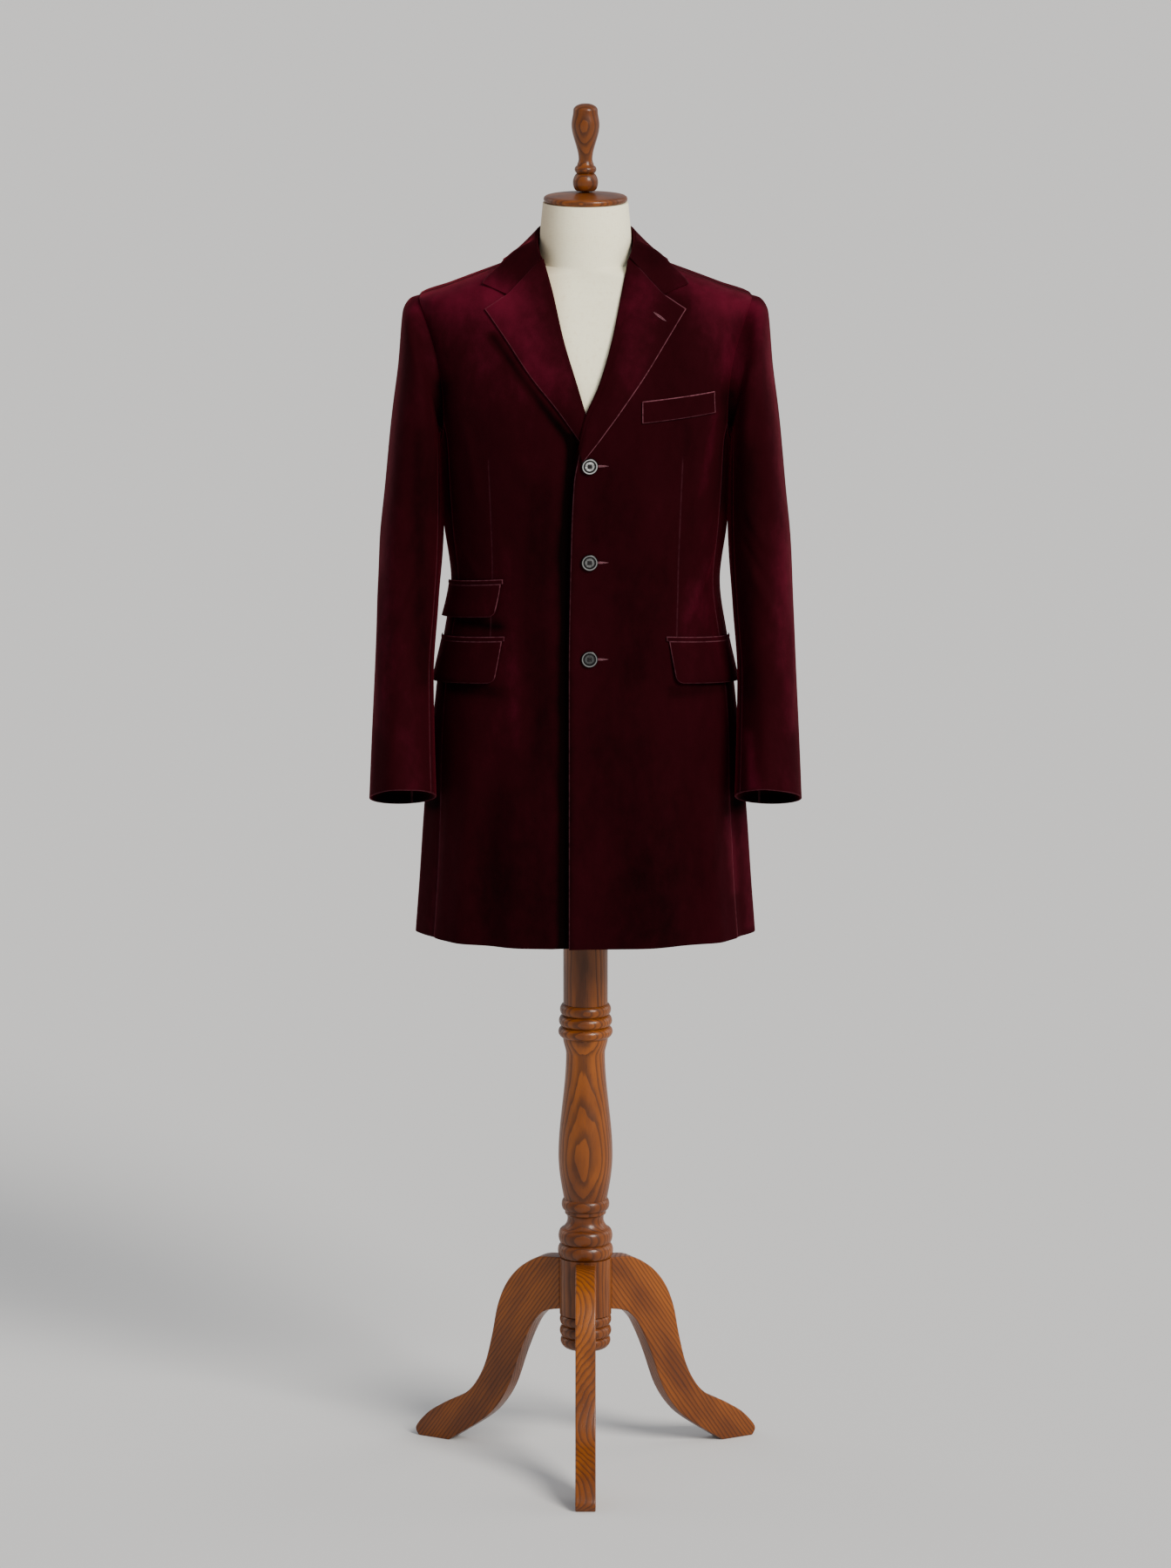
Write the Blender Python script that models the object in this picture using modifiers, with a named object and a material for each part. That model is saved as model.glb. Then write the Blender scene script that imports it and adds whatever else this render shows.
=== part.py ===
"""Velvet coat on a limbless dress form with a turned tripod stand.

Metres, +Z up. The front of the coat faces -Y, and the wearer's left side is at +X.
"""

import bisect
import math
from collections import namedtuple

import bmesh
import bpy
from mathutils import Vector

# Cloth sizes
WALL = 0.002
COLLAR_WALL = 0.0016
TRIM_WALL = 0.0014
GAP = 0.0003
LAY = 0.0012

# Body of the coat: one ring for each height, and the air between the cloth and the form inside it
Ring = namedtuple("Ring", "height half_width front back fullness air")
BODY = [
    Ring(0.728, 0.2215, 0.1350, 0.1420, 2.20, 0.0200),
    Ring(0.800, 0.2160, 0.1330, 0.1360, 2.20, 0.0200),
    Ring(0.890, 0.2100, 0.1300, 0.1280, 2.25, 0.0200),
    Ring(1.050, 0.1965, 0.1275, 0.1160, 2.30, 0.0140),
    Ring(1.120, 0.1865, 0.1265, 0.1060, 2.30, 0.0100),
    Ring(1.207, 0.1745, 0.1260, 0.0940, 2.30, 0.0060),
    Ring(1.270, 0.1790, 0.1285, 0.1020, 2.30, 0.0060),
    Ring(1.330, 0.1825, 0.1330, 0.1130, 2.35, 0.0060),
    Ring(1.385, 0.1855, 0.1370, 0.1220, 2.40, 0.0060),
    Ring(1.430, 0.1950, 0.1360, 0.1250, 2.45, 0.0060),
    Ring(1.470, 0.2020, 0.1280, 0.1240, 2.50, 0.0050),
    Ring(1.510, 0.2085, 0.1120, 0.1180, 2.65, 0.0040),
    Ring(1.540, 0.2135, 0.0940, 0.1080, 2.90, 0.0030),
    Ring(1.560, 0.2163, 0.0810, 0.0980, 3.10, 0.0014),
    Ring(1.570, 0.2170, 0.0755, 0.0920, 3.20, 0.0011),
    Ring(1.585, 0.1790, 0.0690, 0.0850, 3.20, 0.0008),
    Ring(1.600, 0.1400, 0.0650, 0.0800, 3.00, 0.0007),
    Ring(1.613, 0.1060, 0.0630, 0.0770, 2.70, 0.0004),
    Ring(1.625, 0.0810, 0.0625, 0.0745, 2.40, 0.0004),
    Ring(1.632, 0.0715, 0.0625, 0.0735, 2.30, 0.0004),
]
HEM = BODY[0].height
NECK_EDGE = BODY[-1].height

# Armhole: an oval on the body, from the shoulder point down to the underarm
SHOULDER = 1.570
UNDERARM = 1.385
ARM_FRONT_ANGLE = math.radians(23)
ARM_BACK_ANGLE = math.radians(27)
ARM_STEPS = 24
ARM_STEP = 2 * math.pi / ARM_STEPS
SEAM_STEPS = 9
ARM_SEAM_SCALE = 0.994
ARM_STRIP_SCALE = 0.965

# Side seams: angles from the side, towards the front and the back, at the hem
FRONT_SEAM_ANGLE = math.radians(25)
BACK_SEAM_ANGLE = math.radians(36)
SKIRT_STEPS = 14
SHOULDER_STEPS = 4
FRONT_COLUMNS = 10
BACK_COLUMNS = 7

# Front edge: how far each front reaches past the middle, then the line where its lapel turns back
Edge = namedtuple("Edge", "height over under")
FRONT_EDGE = [
    Edge(0.728, -0.0216, -0.0200),
    Edge(1.087, -0.0215, -0.0200),
    Edge(1.258, -0.0186, -0.0200),
    Edge(1.346, -0.0148, -0.0180),
    Edge(1.376, -0.0095, -0.0125),
    Edge(1.427, 0.0010, -0.0005),
    Edge(1.469, 0.0195, 0.0130),
    Edge(1.526, 0.0372, 0.0312),
    Edge(1.588, 0.0505, 0.0465),
    Edge(1.620, 0.0570, 0.0555),
    Edge(1.632, 0.0710, 0.0705),
]
UNDERLAP_SINK = WALL + 2 * GAP
UNDERLAP_START = 0.050
UNDERLAP_FULL = 0.026
UNDERLAP_TOP = 1.460
UNDERLAP_FADE = 0.030

# Lapels: rows from the gorge down, from the turned line to the outer edge
Lapel = namedtuple("Lapel", "row turn_x turn_height edge_x edge_height")
LAPEL_LEFT = [
    Lapel(0, 0.0565, 1.6190, 0.1300, 1.5630),
    Lapel(1, 0.0505, 1.5880, 0.1050, 1.5250),
    Lapel(2, 0.0372, 1.5260, 0.0775, 1.4830),
    Lapel(3, 0.0195, 1.4690, 0.0460, 1.4390),
    Lapel(4, 0.0010, 1.4270, 0.0130, 1.3950),
    Lapel(5, -0.0070, 1.3880, -0.0045, 1.3740),
]
LAPEL_RIGHT = [
    Lapel(0, 0.0555, 1.6190, 0.1300, 1.5630),
    Lapel(1, 0.0465, 1.5880, 0.1015, 1.5250),
    Lapel(2, 0.0312, 1.5260, 0.0715, 1.4830),
    Lapel(3, 0.0130, 1.4690, 0.0350, 1.4390),
    Lapel(4, 0.0030, 1.4390, 0.0085, 1.4035),
]
NOTCH_X = 0.1010
NOTCH_HEIGHT = 1.5800
NOTCH_SHARE = 0.6
NOTCH_DEPTH_SHARE = 0.25
LAPEL_ROWS = 12
LAPEL_COLUMNS = 5

# Collar: stations from its front end round to the middle of the back
Collar = namedtuple("Collar", "angle edge_height fold_radius fold_height stand_height roll")
COLLAR = [
    Collar(-90, 1.6050, 0.0705, 1.6640, 1.6330, 0.0050),
    Collar(-60, 1.6090, 0.0685, 1.6620, 1.6330, 0.0030),
    Collar(-30, 1.6125, 0.0660, 1.6570, 1.6330, -0.0010),
    Collar(0, 1.6130, 0.0652, 1.6500, 1.6330, -0.0045),
    Collar(22, 1.6070, 0.0695, 1.6420, 1.6330, 0.0070),
    Collar(43, 1.5915, 0.0795, 1.6260, 1.6235, 0.0070),
]
COLLAR_FRONT_ANGLE = COLLAR[-1].angle
COLLAR_BACK_ANGLE = COLLAR[0].angle
COLLAR_NOTCH_ANGLE = 25
COLLAR_FOLD_WIDTH = 0.0012
COLLAR_ROWS = 20
COLLAR_FALL_COLUMNS = 6
COLLAR_STAND_COLUMNS = 2
COLLAR_GORGE_GAP = 0.0006
COLLAR_LAY = 0.0027

# Sleeves: one ring for each row, from the sleeve head to the cuff
Sleeve = namedtuple("Sleeve", "row outer_x outer_height inner_x inner_height front back tilt")
SLEEVE = [
    Sleeve(2, 0.2235, 1.5655, 0.1880, 1.3900, -0.068, 0.072, 0.000),
    Sleeve(3, 0.2315, 1.5480, 0.1905, 1.3860, -0.080, 0.082, 0.000),
    Sleeve(4, 0.2435, 1.4790, 0.1897, 1.3710, -0.084, 0.084, 0.000),
    Sleeve(5, 0.2523, 1.4090, 0.1880, 1.3450, -0.084, 0.079, 0.000),
    Sleeve(6, 0.2610, 1.3200, 0.1870, 1.2950, -0.081, 0.071, 0.000),
    Sleeve(7, 0.2680, 1.2500, 0.1880, 1.2350, -0.086, 0.056, 0.000),
    Sleeve(8, 0.2717, 1.1740, 0.1925, 1.1650, -0.096, 0.038, 0.003),
    Sleeve(9, 0.2758, 1.0830, 0.1985, 1.0750, -0.110, 0.016, 0.008),
    Sleeve(10, 0.2800, 0.9930, 0.1970, 0.9850, -0.125, -0.007, 0.014),
    Sleeve(11, 0.2830, 0.9190, 0.1950, 0.9220, -0.138, -0.024, 0.020),
]
SLEEVE_ROWS = SLEEVE[-1].row
SLEEVE_MEAN_RADIUS = 0.060
SLEEVE_FRONT_SEAM = 10
SLEEVE_BACK_SEAM = -7

# Pockets: a flap's front end, the angle of its back end, its heights, and how far off the cloth its jet lies
Pocket = namedtuple("Pocket", "name side front_x back_angle top bottom columns lay")
POCKETS = [
    Pocket("hip_flap_left", 1, 0.1080, -3, 1.1330, 1.0780, 10, 0.0009),
    Pocket("hip_flap_right", -1, 0.1080, -3, 1.1330, 1.0780, 10, 0.0009),
    Pocket("ticket_flap", -1, 0.1090, 4, 1.2080, 1.1650, 9, 0.0019),
]
JET_HEIGHT = 0.0055
JET_REACH = 0.003
FLAP_ROWS = 4
FLAP_LIFT = 0.0030
FLAP_CORNER = 0.009
FLAP_SLANT = 0.003
POCKET_DROP = 0.016

# Breast welt: a slanted band on the wearer's left front
WELT_INNER_X = 0.0730
WELT_OUTER_X = 0.1660
WELT_MIDDLE = 1.4365
WELT_HEIGHT = 0.028
WELT_RISE = 0.008
WELT_COLUMNS = 7

# Buttons
BUTTON_X = 0.0050
BUTTON_HEIGHTS = {"button_top": 1.368, "button_middle": 1.240, "button_low": 1.1125}
BUTTON_STEPS = 14
BUTTON_SEAT = 0.0007

# Dress form
FORM_BASE = 0.930
FORM_COLUMNS = 28
FORM_FIRST_ROW = 5
Neck = namedtuple("Neck", "height radius")
NECK = [Neck(1.615, 0.0612), Neck(1.630, 0.0600), Neck(1.655, 0.0590), Neck(1.693, 0.0555)]

# Turned wood, from the top down: each row ends at its bottom height
Turn = namedtuple("Turn", "name bottom start end shape swell steps")
TURN_STEPS = 16
BEAD_ROUNDNESS = 0.6
SHORTEST_EDGE = 0.0002
CAP_TOP = 1.7080
NECK_CAP = [
    Turn("dome", 1.7010, 0.0000, 0.0525, "ease", 0.0000, 4),
    Turn("rim", 1.6935, 0.0525, 0.0525, "bead", 0.0022, 3),
]
FINIAL_TOP = 1.8220
FINIAL = [
    Turn("crown", 1.8130, 0.0000, 0.0160, "round", 0.0000, 4),
    Turn("bulb", 1.7940, 0.0160, 0.0183, "ease", 0.0000, 3),
    Turn("stem", 1.7490, 0.0183, 0.0090, "ease", 0.0000, 5),
    Turn("flare", 1.7410, 0.0090, 0.0110, "ease", 0.0000, 2),
    Turn("ring", 1.7310, 0.0110, 0.0110, "bead", 0.0033, 3),
    Turn("ball", 1.7083, 0.0110, 0.0120, "bead", 0.0050, 5),
]
LEG_BLOCK_RADIUS = 0.0346
COLUMN_TOP = 0.6260
COLUMN = [
    Turn("upper bead", 0.6107, 0.0298, 0.0302, "bead", 0.0040, 3),
    Turn("middle bead", 0.5953, 0.0305, 0.0308, "bead", 0.0048, 3),
    Turn("lower bead", 0.5800, 0.0308, 0.0300, "bead", 0.0058, 3),
    Turn("throat", 0.5575, 0.0300, 0.0259, "ease", 0.0000, 3),
    Turn("vase", 0.4205, 0.0259, 0.0361, "ease", 0.0000, 7),
    Turn("vase foot", 0.3600, 0.0361, 0.0288, "round down", 0.0000, 4),
    Turn("waist bead", 0.3450, 0.0290, 0.0290, "bead", 0.0030, 3),
    Turn("fillet", 0.3400, 0.0275, 0.0275, "straight", 0.0000, 1),
    Turn("cove", 0.3190, 0.0275, 0.0325, "bead", -0.0055, 5),
    Turn("collar bead", 0.2990, 0.0325, 0.0325, "bead", 0.0036, 3),
    Turn("foot bead", 0.2795, 0.0325, 0.0325, "bead", 0.0045, 3),
    Turn("leg block", 0.2020, LEG_BLOCK_RADIUS, LEG_BLOCK_RADIUS, "straight", 0.0000, 1),
    Turn("first ring", 0.1865, 0.0305, 0.0305, "bead", 0.0041, 3),
    Turn("second ring", 0.1710, 0.0305, 0.0305, "bead", 0.0041, 3),
    Turn("third ring", 0.1550, 0.0305, 0.0260, "bead", 0.0050, 3),
]
BUTTON_FACE = 0.0026
BUTTON = [
    Turn("dish", 0.0028, 0.0000, 0.0062, "ease", 0.0000, 2),
    Turn("slope", 0.0040, 0.0062, 0.0085, "ease", 0.0000, 2),
    Turn("rim", 0.0018, 0.0085, 0.0110, "round", 0.0000, 3),
    Turn("under", 0.0000, 0.0110, 0.0085, "ease", 0.0000, 2),
]
POLE_RADIUS = 0.0296
POLE_TOP = FORM_BASE - GAP
POLE = [Turn("pole", COLUMN_TOP + GAP, POLE_RADIUS, POLE_RADIUS, "straight", 0.0000, 1)]

# Legs: reach from the post's axis and height, along the upper and then the lower edge
LEG_THICKNESS = 0.027
LEG_SEAT = math.sqrt(LEG_BLOCK_RADIUS**2 - (LEG_THICKNESS / 2) ** 2)
LEG_SEAT_CUT = 0.020
LEG_REACH = 0.258
LEG_ANGLES = {"leg_front": -90, "leg_left": 30, "leg_right": 150}
Leg = namedtuple("Leg", "reach height")
LEG_UPPER = [
    Leg(LEG_SEAT, 0.2770),
    Leg(0.0600, 0.2745),
    Leg(0.0900, 0.2590),
    Leg(0.1150, 0.2310),
    Leg(0.1290, 0.1980),
    Leg(0.1380, 0.1550),
    Leg(0.1500, 0.1120),
    Leg(0.1740, 0.0740),
    Leg(0.2120, 0.0520),
    Leg(0.2400, 0.0330),
    Leg(LEG_REACH, 0.0100),
]
LEG_LOWER = [
    Leg(0.2060, 0.0000),
    Leg(0.1940, 0.0080),
    Leg(0.1400, 0.0470),
    Leg(0.1140, 0.0840),
    Leg(0.0965, 0.1310),
    Leg(0.0856, 0.1580),
    Leg(0.0700, 0.1870),
    Leg(0.0530, 0.2010),
    Leg(LEG_SEAT, 0.2060),
]
LEG_TOE = Leg(0.2535, 0.0000)
LEG_SUBSTEPS = 2
Station = namedtuple("Station", "row reach height")

# The post stands behind the middle of the footprint, which is the part's origin
AXIS_Y = (LEG_REACH - BODY[0].back) / 2

# Colours from the photograph: base colour, roughness, metallic
FINISHES = {
    "velvet": ((0.075, 0.006, 0.018, 1), 0.85, 0.0),
    "linen": ((0.78, 0.74, 0.65, 1), 0.90, 0.0),
    "wood": ((0.23, 0.09, 0.03, 1), 0.40, 0.0),
    "horn": ((0.045, 0.045, 0.05, 1), 0.25, 0.0),
}


def start_scene():
    """An empty scene with a collection for the parts and one for the cutters."""
    for old in list(bpy.data.objects):
        bpy.data.objects.remove(old, do_unlink=True)
    parts = bpy.data.collections.new("velvet_coat")
    cutters = bpy.data.collections.new("cutters")
    for made in (parts, cutters):
        bpy.context.scene.collection.children.link(made)
    axis = bpy.data.objects.new("post_axis", None)
    axis.location = (0, AXIS_Y, 0)
    parts.objects.link(axis)
    return parts, cutters, axis


PARTS, CUTTERS, AXIS = start_scene()


def finish_named(name, part_name):
    """A material of its own for one part."""
    colour, roughness, metallic = FINISHES[name]
    material = bpy.data.materials.new(f"{name}_{part_name}")
    material.use_nodes = True
    shader = material.node_tree.nodes["Principled BSDF"]
    shader.inputs["Base Color"].default_value = colour
    shader.inputs["Roughness"].default_value = roughness
    shader.inputs["Metallic"].default_value = metallic
    return material


def add_part(name, data, finish, collection=PARTS):
    """A named object on the post's axis, with its own material."""
    part = bpy.data.objects.new(name, data)
    collection.objects.link(part)
    part.parent = AXIS
    data.materials.append(finish_named(finish, name))
    return part


def along(rows, column, at):
    """A column's value between two rows, on a smooth curve that never overshoots them."""
    keys = [row[0] for row in rows]
    values = [getattr(row, column) for row in rows]
    at = min(max(at, keys[0]), keys[-1])
    i = min(bisect.bisect_right(keys, at) - 1, len(keys) - 2)
    slopes = [(b - a) / (q - p) for a, b, p, q in zip(values, values[1:], keys, keys[1:])]

    def slope_at(k):
        if k in (0, len(slopes)):
            return slopes[max(k - 1, 0)]
        before, after = slopes[k - 1], slopes[k]
        if before * after <= 0:
            return 0.0
        return 2 * before * after / (before + after)

    span = keys[i + 1] - keys[i]
    t = (at - keys[i]) / span
    bend = slope_at(i) * (1 - t) - slope_at(i + 1) * t
    line = values[i] * (1 - t) + values[i + 1] * t
    chord = slopes[i] * (1 - 2 * t)
    return line + span * t * (1 - t) * (bend - chord)


def blend(a, b, t):
    return a + (b - a) * t


def eased(t):
    """0 to 1 with a level start and end."""
    t = min(max(t, 0.0), 1.0)
    return t * t * (3 - 2 * t)


def ring_point(angle, height):
    """A point of the coat's outside: angle 0 is the side, 90 degrees the front, -90 the back."""
    across, forward = math.cos(angle), math.sin(angle)
    width = along(BODY, "half_width", height)
    depth = along(BODY, "front" if forward > 0 else "back", height)
    power = 2 / along(BODY, "fullness", height)
    x = width * math.copysign(abs(across) ** power, across)
    y = -depth * math.copysign(abs(forward) ** power, forward)
    return Vector((x, y, height))


def body_point(angle, height, out=0.0):
    """A point of the coat's outside, moved out along the surface's normal."""
    step = 0.01
    rise = 0.002
    round_way = ring_point(angle + step, height) - ring_point(angle - step, height)
    up_way = ring_point(angle, height + rise) - ring_point(angle, height - rise)
    return ring_point(angle, height) + out * up_way.cross(round_way).normalized()


def angle_at(x, height):
    """The angle of the point of the coat's front that has this x."""
    share = min(abs(x) / along(BODY, "half_width", height), 1.0)
    return math.acos(math.copysign(share ** (along(BODY, "fullness", height) / 2), x))


def front_point(x, height, out=0.0):
    return body_point(angle_at(x, height), height, out)


def moved_along(angle, height, distance):
    """The angle after a walk of this length round the ring."""
    step = 0.01
    speed = (ring_point(angle + step, height) - ring_point(angle, height)).length / step
    return angle + distance / speed


def add_sheet(name, point_at, columns, rows, wall, side=1, flip=False, finish="velvet"):
    """A cloth wall: a grid with each point placed by its share across and along, then thickened outwards."""
    mesh = bpy.data.meshes.new(name)
    shape = bmesh.new()
    bmesh.ops.create_grid(shape, x_segments=columns, y_segments=rows, size=0.5)
    for point in shape.verts:
        place = point_at(point.co.x + 0.5, point.co.y + 0.5)
        point.co = (side * place.x, place.y, place.z)
    if (side < 0) != flip:
        bmesh.ops.reverse_faces(shape, faces=shape.faces)
    shape.to_mesh(mesh)
    shape.free()
    mesh.shade_smooth()
    part = add_part(name, mesh, finish)
    thick = part.modifiers.new("cloth", "SOLIDIFY")
    thick.thickness = wall
    thick.offset = 1
    return part


ARM_MIDDLE = (SHOULDER + UNDERARM) / 2
ARM_HALF = (SHOULDER - UNDERARM) / 2
SEAM_TURN = SEAM_STEPS * ARM_STEP
SEAM_TOP = ARM_MIDDLE + ARM_HALF * math.cos(SEAM_TURN)


def arm_angle(turn):
    """The armhole's angle on the body. Turn 0 is the shoulder point, and a quarter turn is its front."""
    widest = ARM_FRONT_ANGLE if math.sin(turn) > 0 else ARM_BACK_ANGLE
    return widest * math.sin(turn)


def armhole_point(turn, scale=1.0):
    height = ARM_MIDDLE + ARM_HALF * math.cos(turn) * scale
    return body_point(arm_angle(turn) * scale, height, -WALL)


def seam_angle(height, hem_angle, turn):
    """A side seam runs from its place on the hem to the armhole."""
    return blend(hem_angle, arm_angle(turn), eased((height - HEM) / (SEAM_TOP - HEM)))


def panel_height(row):
    """Heights of a panel's rows: the skirt, then the armhole's own points, then the shoulder."""
    if row <= SKIRT_STEPS:
        return blend(HEM, SEAM_TOP, row / SKIRT_STEPS)
    row -= SKIRT_STEPS
    if row <= SEAM_STEPS:
        return ARM_MIDDLE + ARM_HALF * math.cos(SEAM_TURN - row * ARM_STEP)
    return blend(SHOULDER, NECK_EDGE, (row - SEAM_STEPS) / SHOULDER_STEPS)


PANEL_ROWS = SKIRT_STEPS + SEAM_STEPS + SHOULDER_STEPS


def panel_side_angle(row, hem_angle, way):
    """The angle of a panel's outer edge: side seam, then armhole, then shoulder seam."""
    height = panel_height(row)
    if row <= SKIRT_STEPS:
        angle = seam_angle(height, hem_angle, way * SEAM_TURN)
    elif row <= SKIRT_STEPS + SEAM_STEPS:
        angle = arm_angle(way * (SEAM_TURN - (row - SKIRT_STEPS) * ARM_STEP))
    else:
        angle = 0.0
    return moved_along(angle, height, way * GAP / 2)


def front_out(x, height, side):
    """The right front sinks under the left one where they lap."""
    if side > 0:
        return 0.0
    sink = eased((UNDERLAP_START - x) / (UNDERLAP_START - UNDERLAP_FULL))
    return -UNDERLAP_SINK * sink * eased((UNDERLAP_TOP - height) / UNDERLAP_FADE)


def add_front(name, side):
    edge = "over" if side > 0 else "under"

    def point_at(across, up):
        row = round(up * PANEL_ROWS)
        height = panel_height(row)
        side_angle = panel_side_angle(row, FRONT_SEAM_ANGLE, 1)
        edge_angle = angle_at(along(FRONT_EDGE, edge, height), height)
        angle = blend(edge_angle, side_angle, across)
        x = ring_point(angle, height).x
        return body_point(angle, height, front_out(x, height, side) - WALL)

    add_sheet(name, point_at, FRONT_COLUMNS, PANEL_ROWS, WALL, side)


def add_back(name, side):
    def point_at(across, up):
        row = round(up * PANEL_ROWS)
        height = panel_height(row)
        side_angle = panel_side_angle(row, -BACK_SEAM_ANGLE, -1)
        middle_angle = moved_along(-math.pi / 2, height, GAP / 2)
        return body_point(blend(side_angle, middle_angle, across), height, -WALL)

    add_sheet(name, point_at, BACK_COLUMNS, PANEL_ROWS, WALL, side)


def add_side(name, side):
    columns = ARM_STEPS - 2 * SEAM_STEPS

    def point_at(across, up):
        turn = SEAM_TURN + across * columns * ARM_STEP
        top = ARM_MIDDLE + ARM_HALF * math.cos(turn)
        height = blend(HEM, top, up)
        level = blend(HEM, SEAM_TOP, up)
        front = moved_along(seam_angle(level, FRONT_SEAM_ANGLE, SEAM_TURN), level, -GAP / 2)
        back = moved_along(seam_angle(level, -BACK_SEAM_ANGLE, -SEAM_TURN), level, GAP / 2)
        share = (arm_angle(turn) - arm_angle(SEAM_TURN)) / (arm_angle(-SEAM_TURN) - arm_angle(SEAM_TURN))
        return body_point(blend(front, back, share), height, -WALL)

    add_sheet(name, point_at, columns, SKIRT_STEPS, WALL, side)


def sleeve_point(turn, row):
    if row == 0:
        return armhole_point(turn, ARM_SEAM_SCALE)
    if row == 1:
        return armhole_point(turn, ARM_STRIP_SCALE)
    ring = SLEEVE[row - 2]
    outer = Vector((ring.outer_x, 0, ring.outer_height))
    inner = Vector((ring.inner_x, 0, ring.inner_height))
    half = (outer - inner) / 2
    half -= half.normalized() * WALL
    place = (outer + inner) / 2 + half * math.cos(turn)
    forward = math.sin(turn)
    place.y = (ring.front + ring.back) / 2 - ((ring.back - ring.front) / 2 - WALL) * forward
    place.z += ring.tilt * forward
    return place


def add_sleeve_piece(name, side, first, last):
    """The part of the sleeve between two seams, counted in steps round the armhole from the shoulder."""
    columns = last - first
    trim = GAP / 2 / SLEEVE_MEAN_RADIUS

    def point_at(across, down):
        turn = blend(first * ARM_STEP + trim, last * ARM_STEP - trim, across)
        if 0 < across < 1:
            turn = (first + round(across * columns)) * ARM_STEP
        return sleeve_point(turn, round(down * SLEEVE_ROWS))

    add_sheet(name, point_at, columns, SLEEVE_ROWS, WALL, side)


def add_lapel(name, side, rows):
    def point_at(across, down):
        row = down * rows[-1].row
        turn = Vector((along(rows, "turn_x", row), along(rows, "turn_height", row)))
        edge = Vector((along(rows, "edge_x", row), along(rows, "edge_height", row)))
        flat = turn.lerp(edge, across)
        notch = Vector((NOTCH_X, NOTCH_HEIGHT)) - turn.lerp(edge, NOTCH_SHARE)
        bow = min(across / NOTCH_SHARE, (1 - across) / (1 - NOTCH_SHARE))
        flat += notch * bow * max(1 - down / NOTCH_DEPTH_SHARE, 0)
        out = LAY + front_out(flat.x, flat.y, side)
        return front_point(flat.x, flat.y, out)

    add_sheet(name, point_at, LAPEL_COLUMNS, LAPEL_ROWS, WALL, side, flip=True)


def collar_point(station, across):
    """Across 0 is the leaf's outer edge, 1 the fold and 2 the foot of the stand inside it."""
    way = math.copysign(1, station)
    angle = blend(COLLAR_BACK_ANGLE, COLLAR_FRONT_ANGLE, abs(station))
    turn = math.radians(angle)
    edge = body_point(turn, along(COLLAR, "edge_height", angle), COLLAR_LAY)
    radius = along(COLLAR, "fold_radius", angle)
    top = along(COLLAR, "fold_height", angle)
    fold = Vector((radius * math.cos(turn), -radius * math.sin(turn), top))
    foot = Vector((fold.x, fold.y, along(COLLAR, "stand_height", angle)))
    inwards = Vector((-math.cos(turn), math.sin(turn), 0)) * COLLAR_FOLD_WIDTH
    near_end = eased((angle - COLLAR_NOTCH_ANGLE) / (COLLAR_FRONT_ANGLE - COLLAR_NOTCH_ANGLE))
    if across <= 1:
        place = edge.lerp(fold, across)
        middle = (edge + fold) / 2 + Vector((0, 0, along(COLLAR, "roll", angle))) - inwards
        notch = front_point(NOTCH_X, NOTCH_HEIGHT + COLLAR_GORGE_GAP, COLLAR_LAY)
        middle = middle.lerp(notch, near_end)
        bow = 1 - abs(across - 0.5) / 0.5
        bow = blend(math.sin(math.pi * across), bow, near_end)
        place += (middle - (edge + fold) / 2) * bow
    else:
        place = (fold + inwards).lerp(foot + inwards, across - 1)
    return Vector((way * place.x, place.y, place.z))


def add_collar():
    columns = COLLAR_FALL_COLUMNS + 1 + COLLAR_STAND_COLUMNS

    def point_at(across, round_neck):
        column = round(across * columns)
        if column <= COLLAR_FALL_COLUMNS:
            share = column / COLLAR_FALL_COLUMNS
        else:
            share = 1 + (column - COLLAR_FALL_COLUMNS - 1) / COLLAR_STAND_COLUMNS + 1e-9
        return collar_point(blend(1, -1, round_neck), share)

    add_sheet("collar", point_at, columns, COLLAR_ROWS, COLLAR_WALL, flip=True)


def pocket_drop(pocket, angle):
    """How far a pocket's line has run down at this angle, from its front end to its back end."""
    front = angle_at(pocket.front_x, pocket.top)
    back = math.radians(pocket.back_angle)
    return POCKET_DROP * (front - angle) / (front - back)


def add_flap(pocket):
    front_top = angle_at(pocket.front_x, pocket.top)
    back = math.radians(pocket.back_angle)
    length = (ring_point(front_top, pocket.top) - ring_point(back, pocket.top)).length

    def point_at(across, down):
        slant = FLAP_SLANT * down
        front = angle_at(pocket.front_x + slant, pocket.top)
        angle = blend(front, back, across)
        corner = max(FLAP_CORNER - across * length, 0)
        lift = FLAP_CORNER - math.sqrt(FLAP_CORNER**2 - corner**2)
        height = blend(pocket.top, pocket.bottom + lift, down) - pocket_drop(pocket, angle)
        return body_point(angle, height, pocket.lay + GAP + FLAP_LIFT * down)

    add_sheet(pocket.name, point_at, pocket.columns, FLAP_ROWS, TRIM_WALL, pocket.side, flip=True)


def add_jet(pocket):
    front = angle_at(pocket.front_x - JET_REACH, pocket.top)
    back = math.radians(pocket.back_angle)

    def point_at(across, down):
        angle = blend(front, back, across)
        height = pocket.top + GAP + JET_HEIGHT * (1 - down) - pocket_drop(pocket, angle)
        return body_point(angle, height, pocket.lay)

    name = pocket.name.replace("flap", "jet")
    add_sheet(name, point_at, pocket.columns, 1, TRIM_WALL, pocket.side, flip=True)


def add_welt():
    def point_at(across, down):
        x = blend(WELT_INNER_X, WELT_OUTER_X, across)
        height = WELT_MIDDLE + WELT_RISE * across + WELT_HEIGHT * (0.5 - down)
        return front_point(x, height, LAY)

    add_sheet("breast_welt", point_at, WELT_COLUMNS, 2, TRIM_WALL, flip=True)


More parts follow.
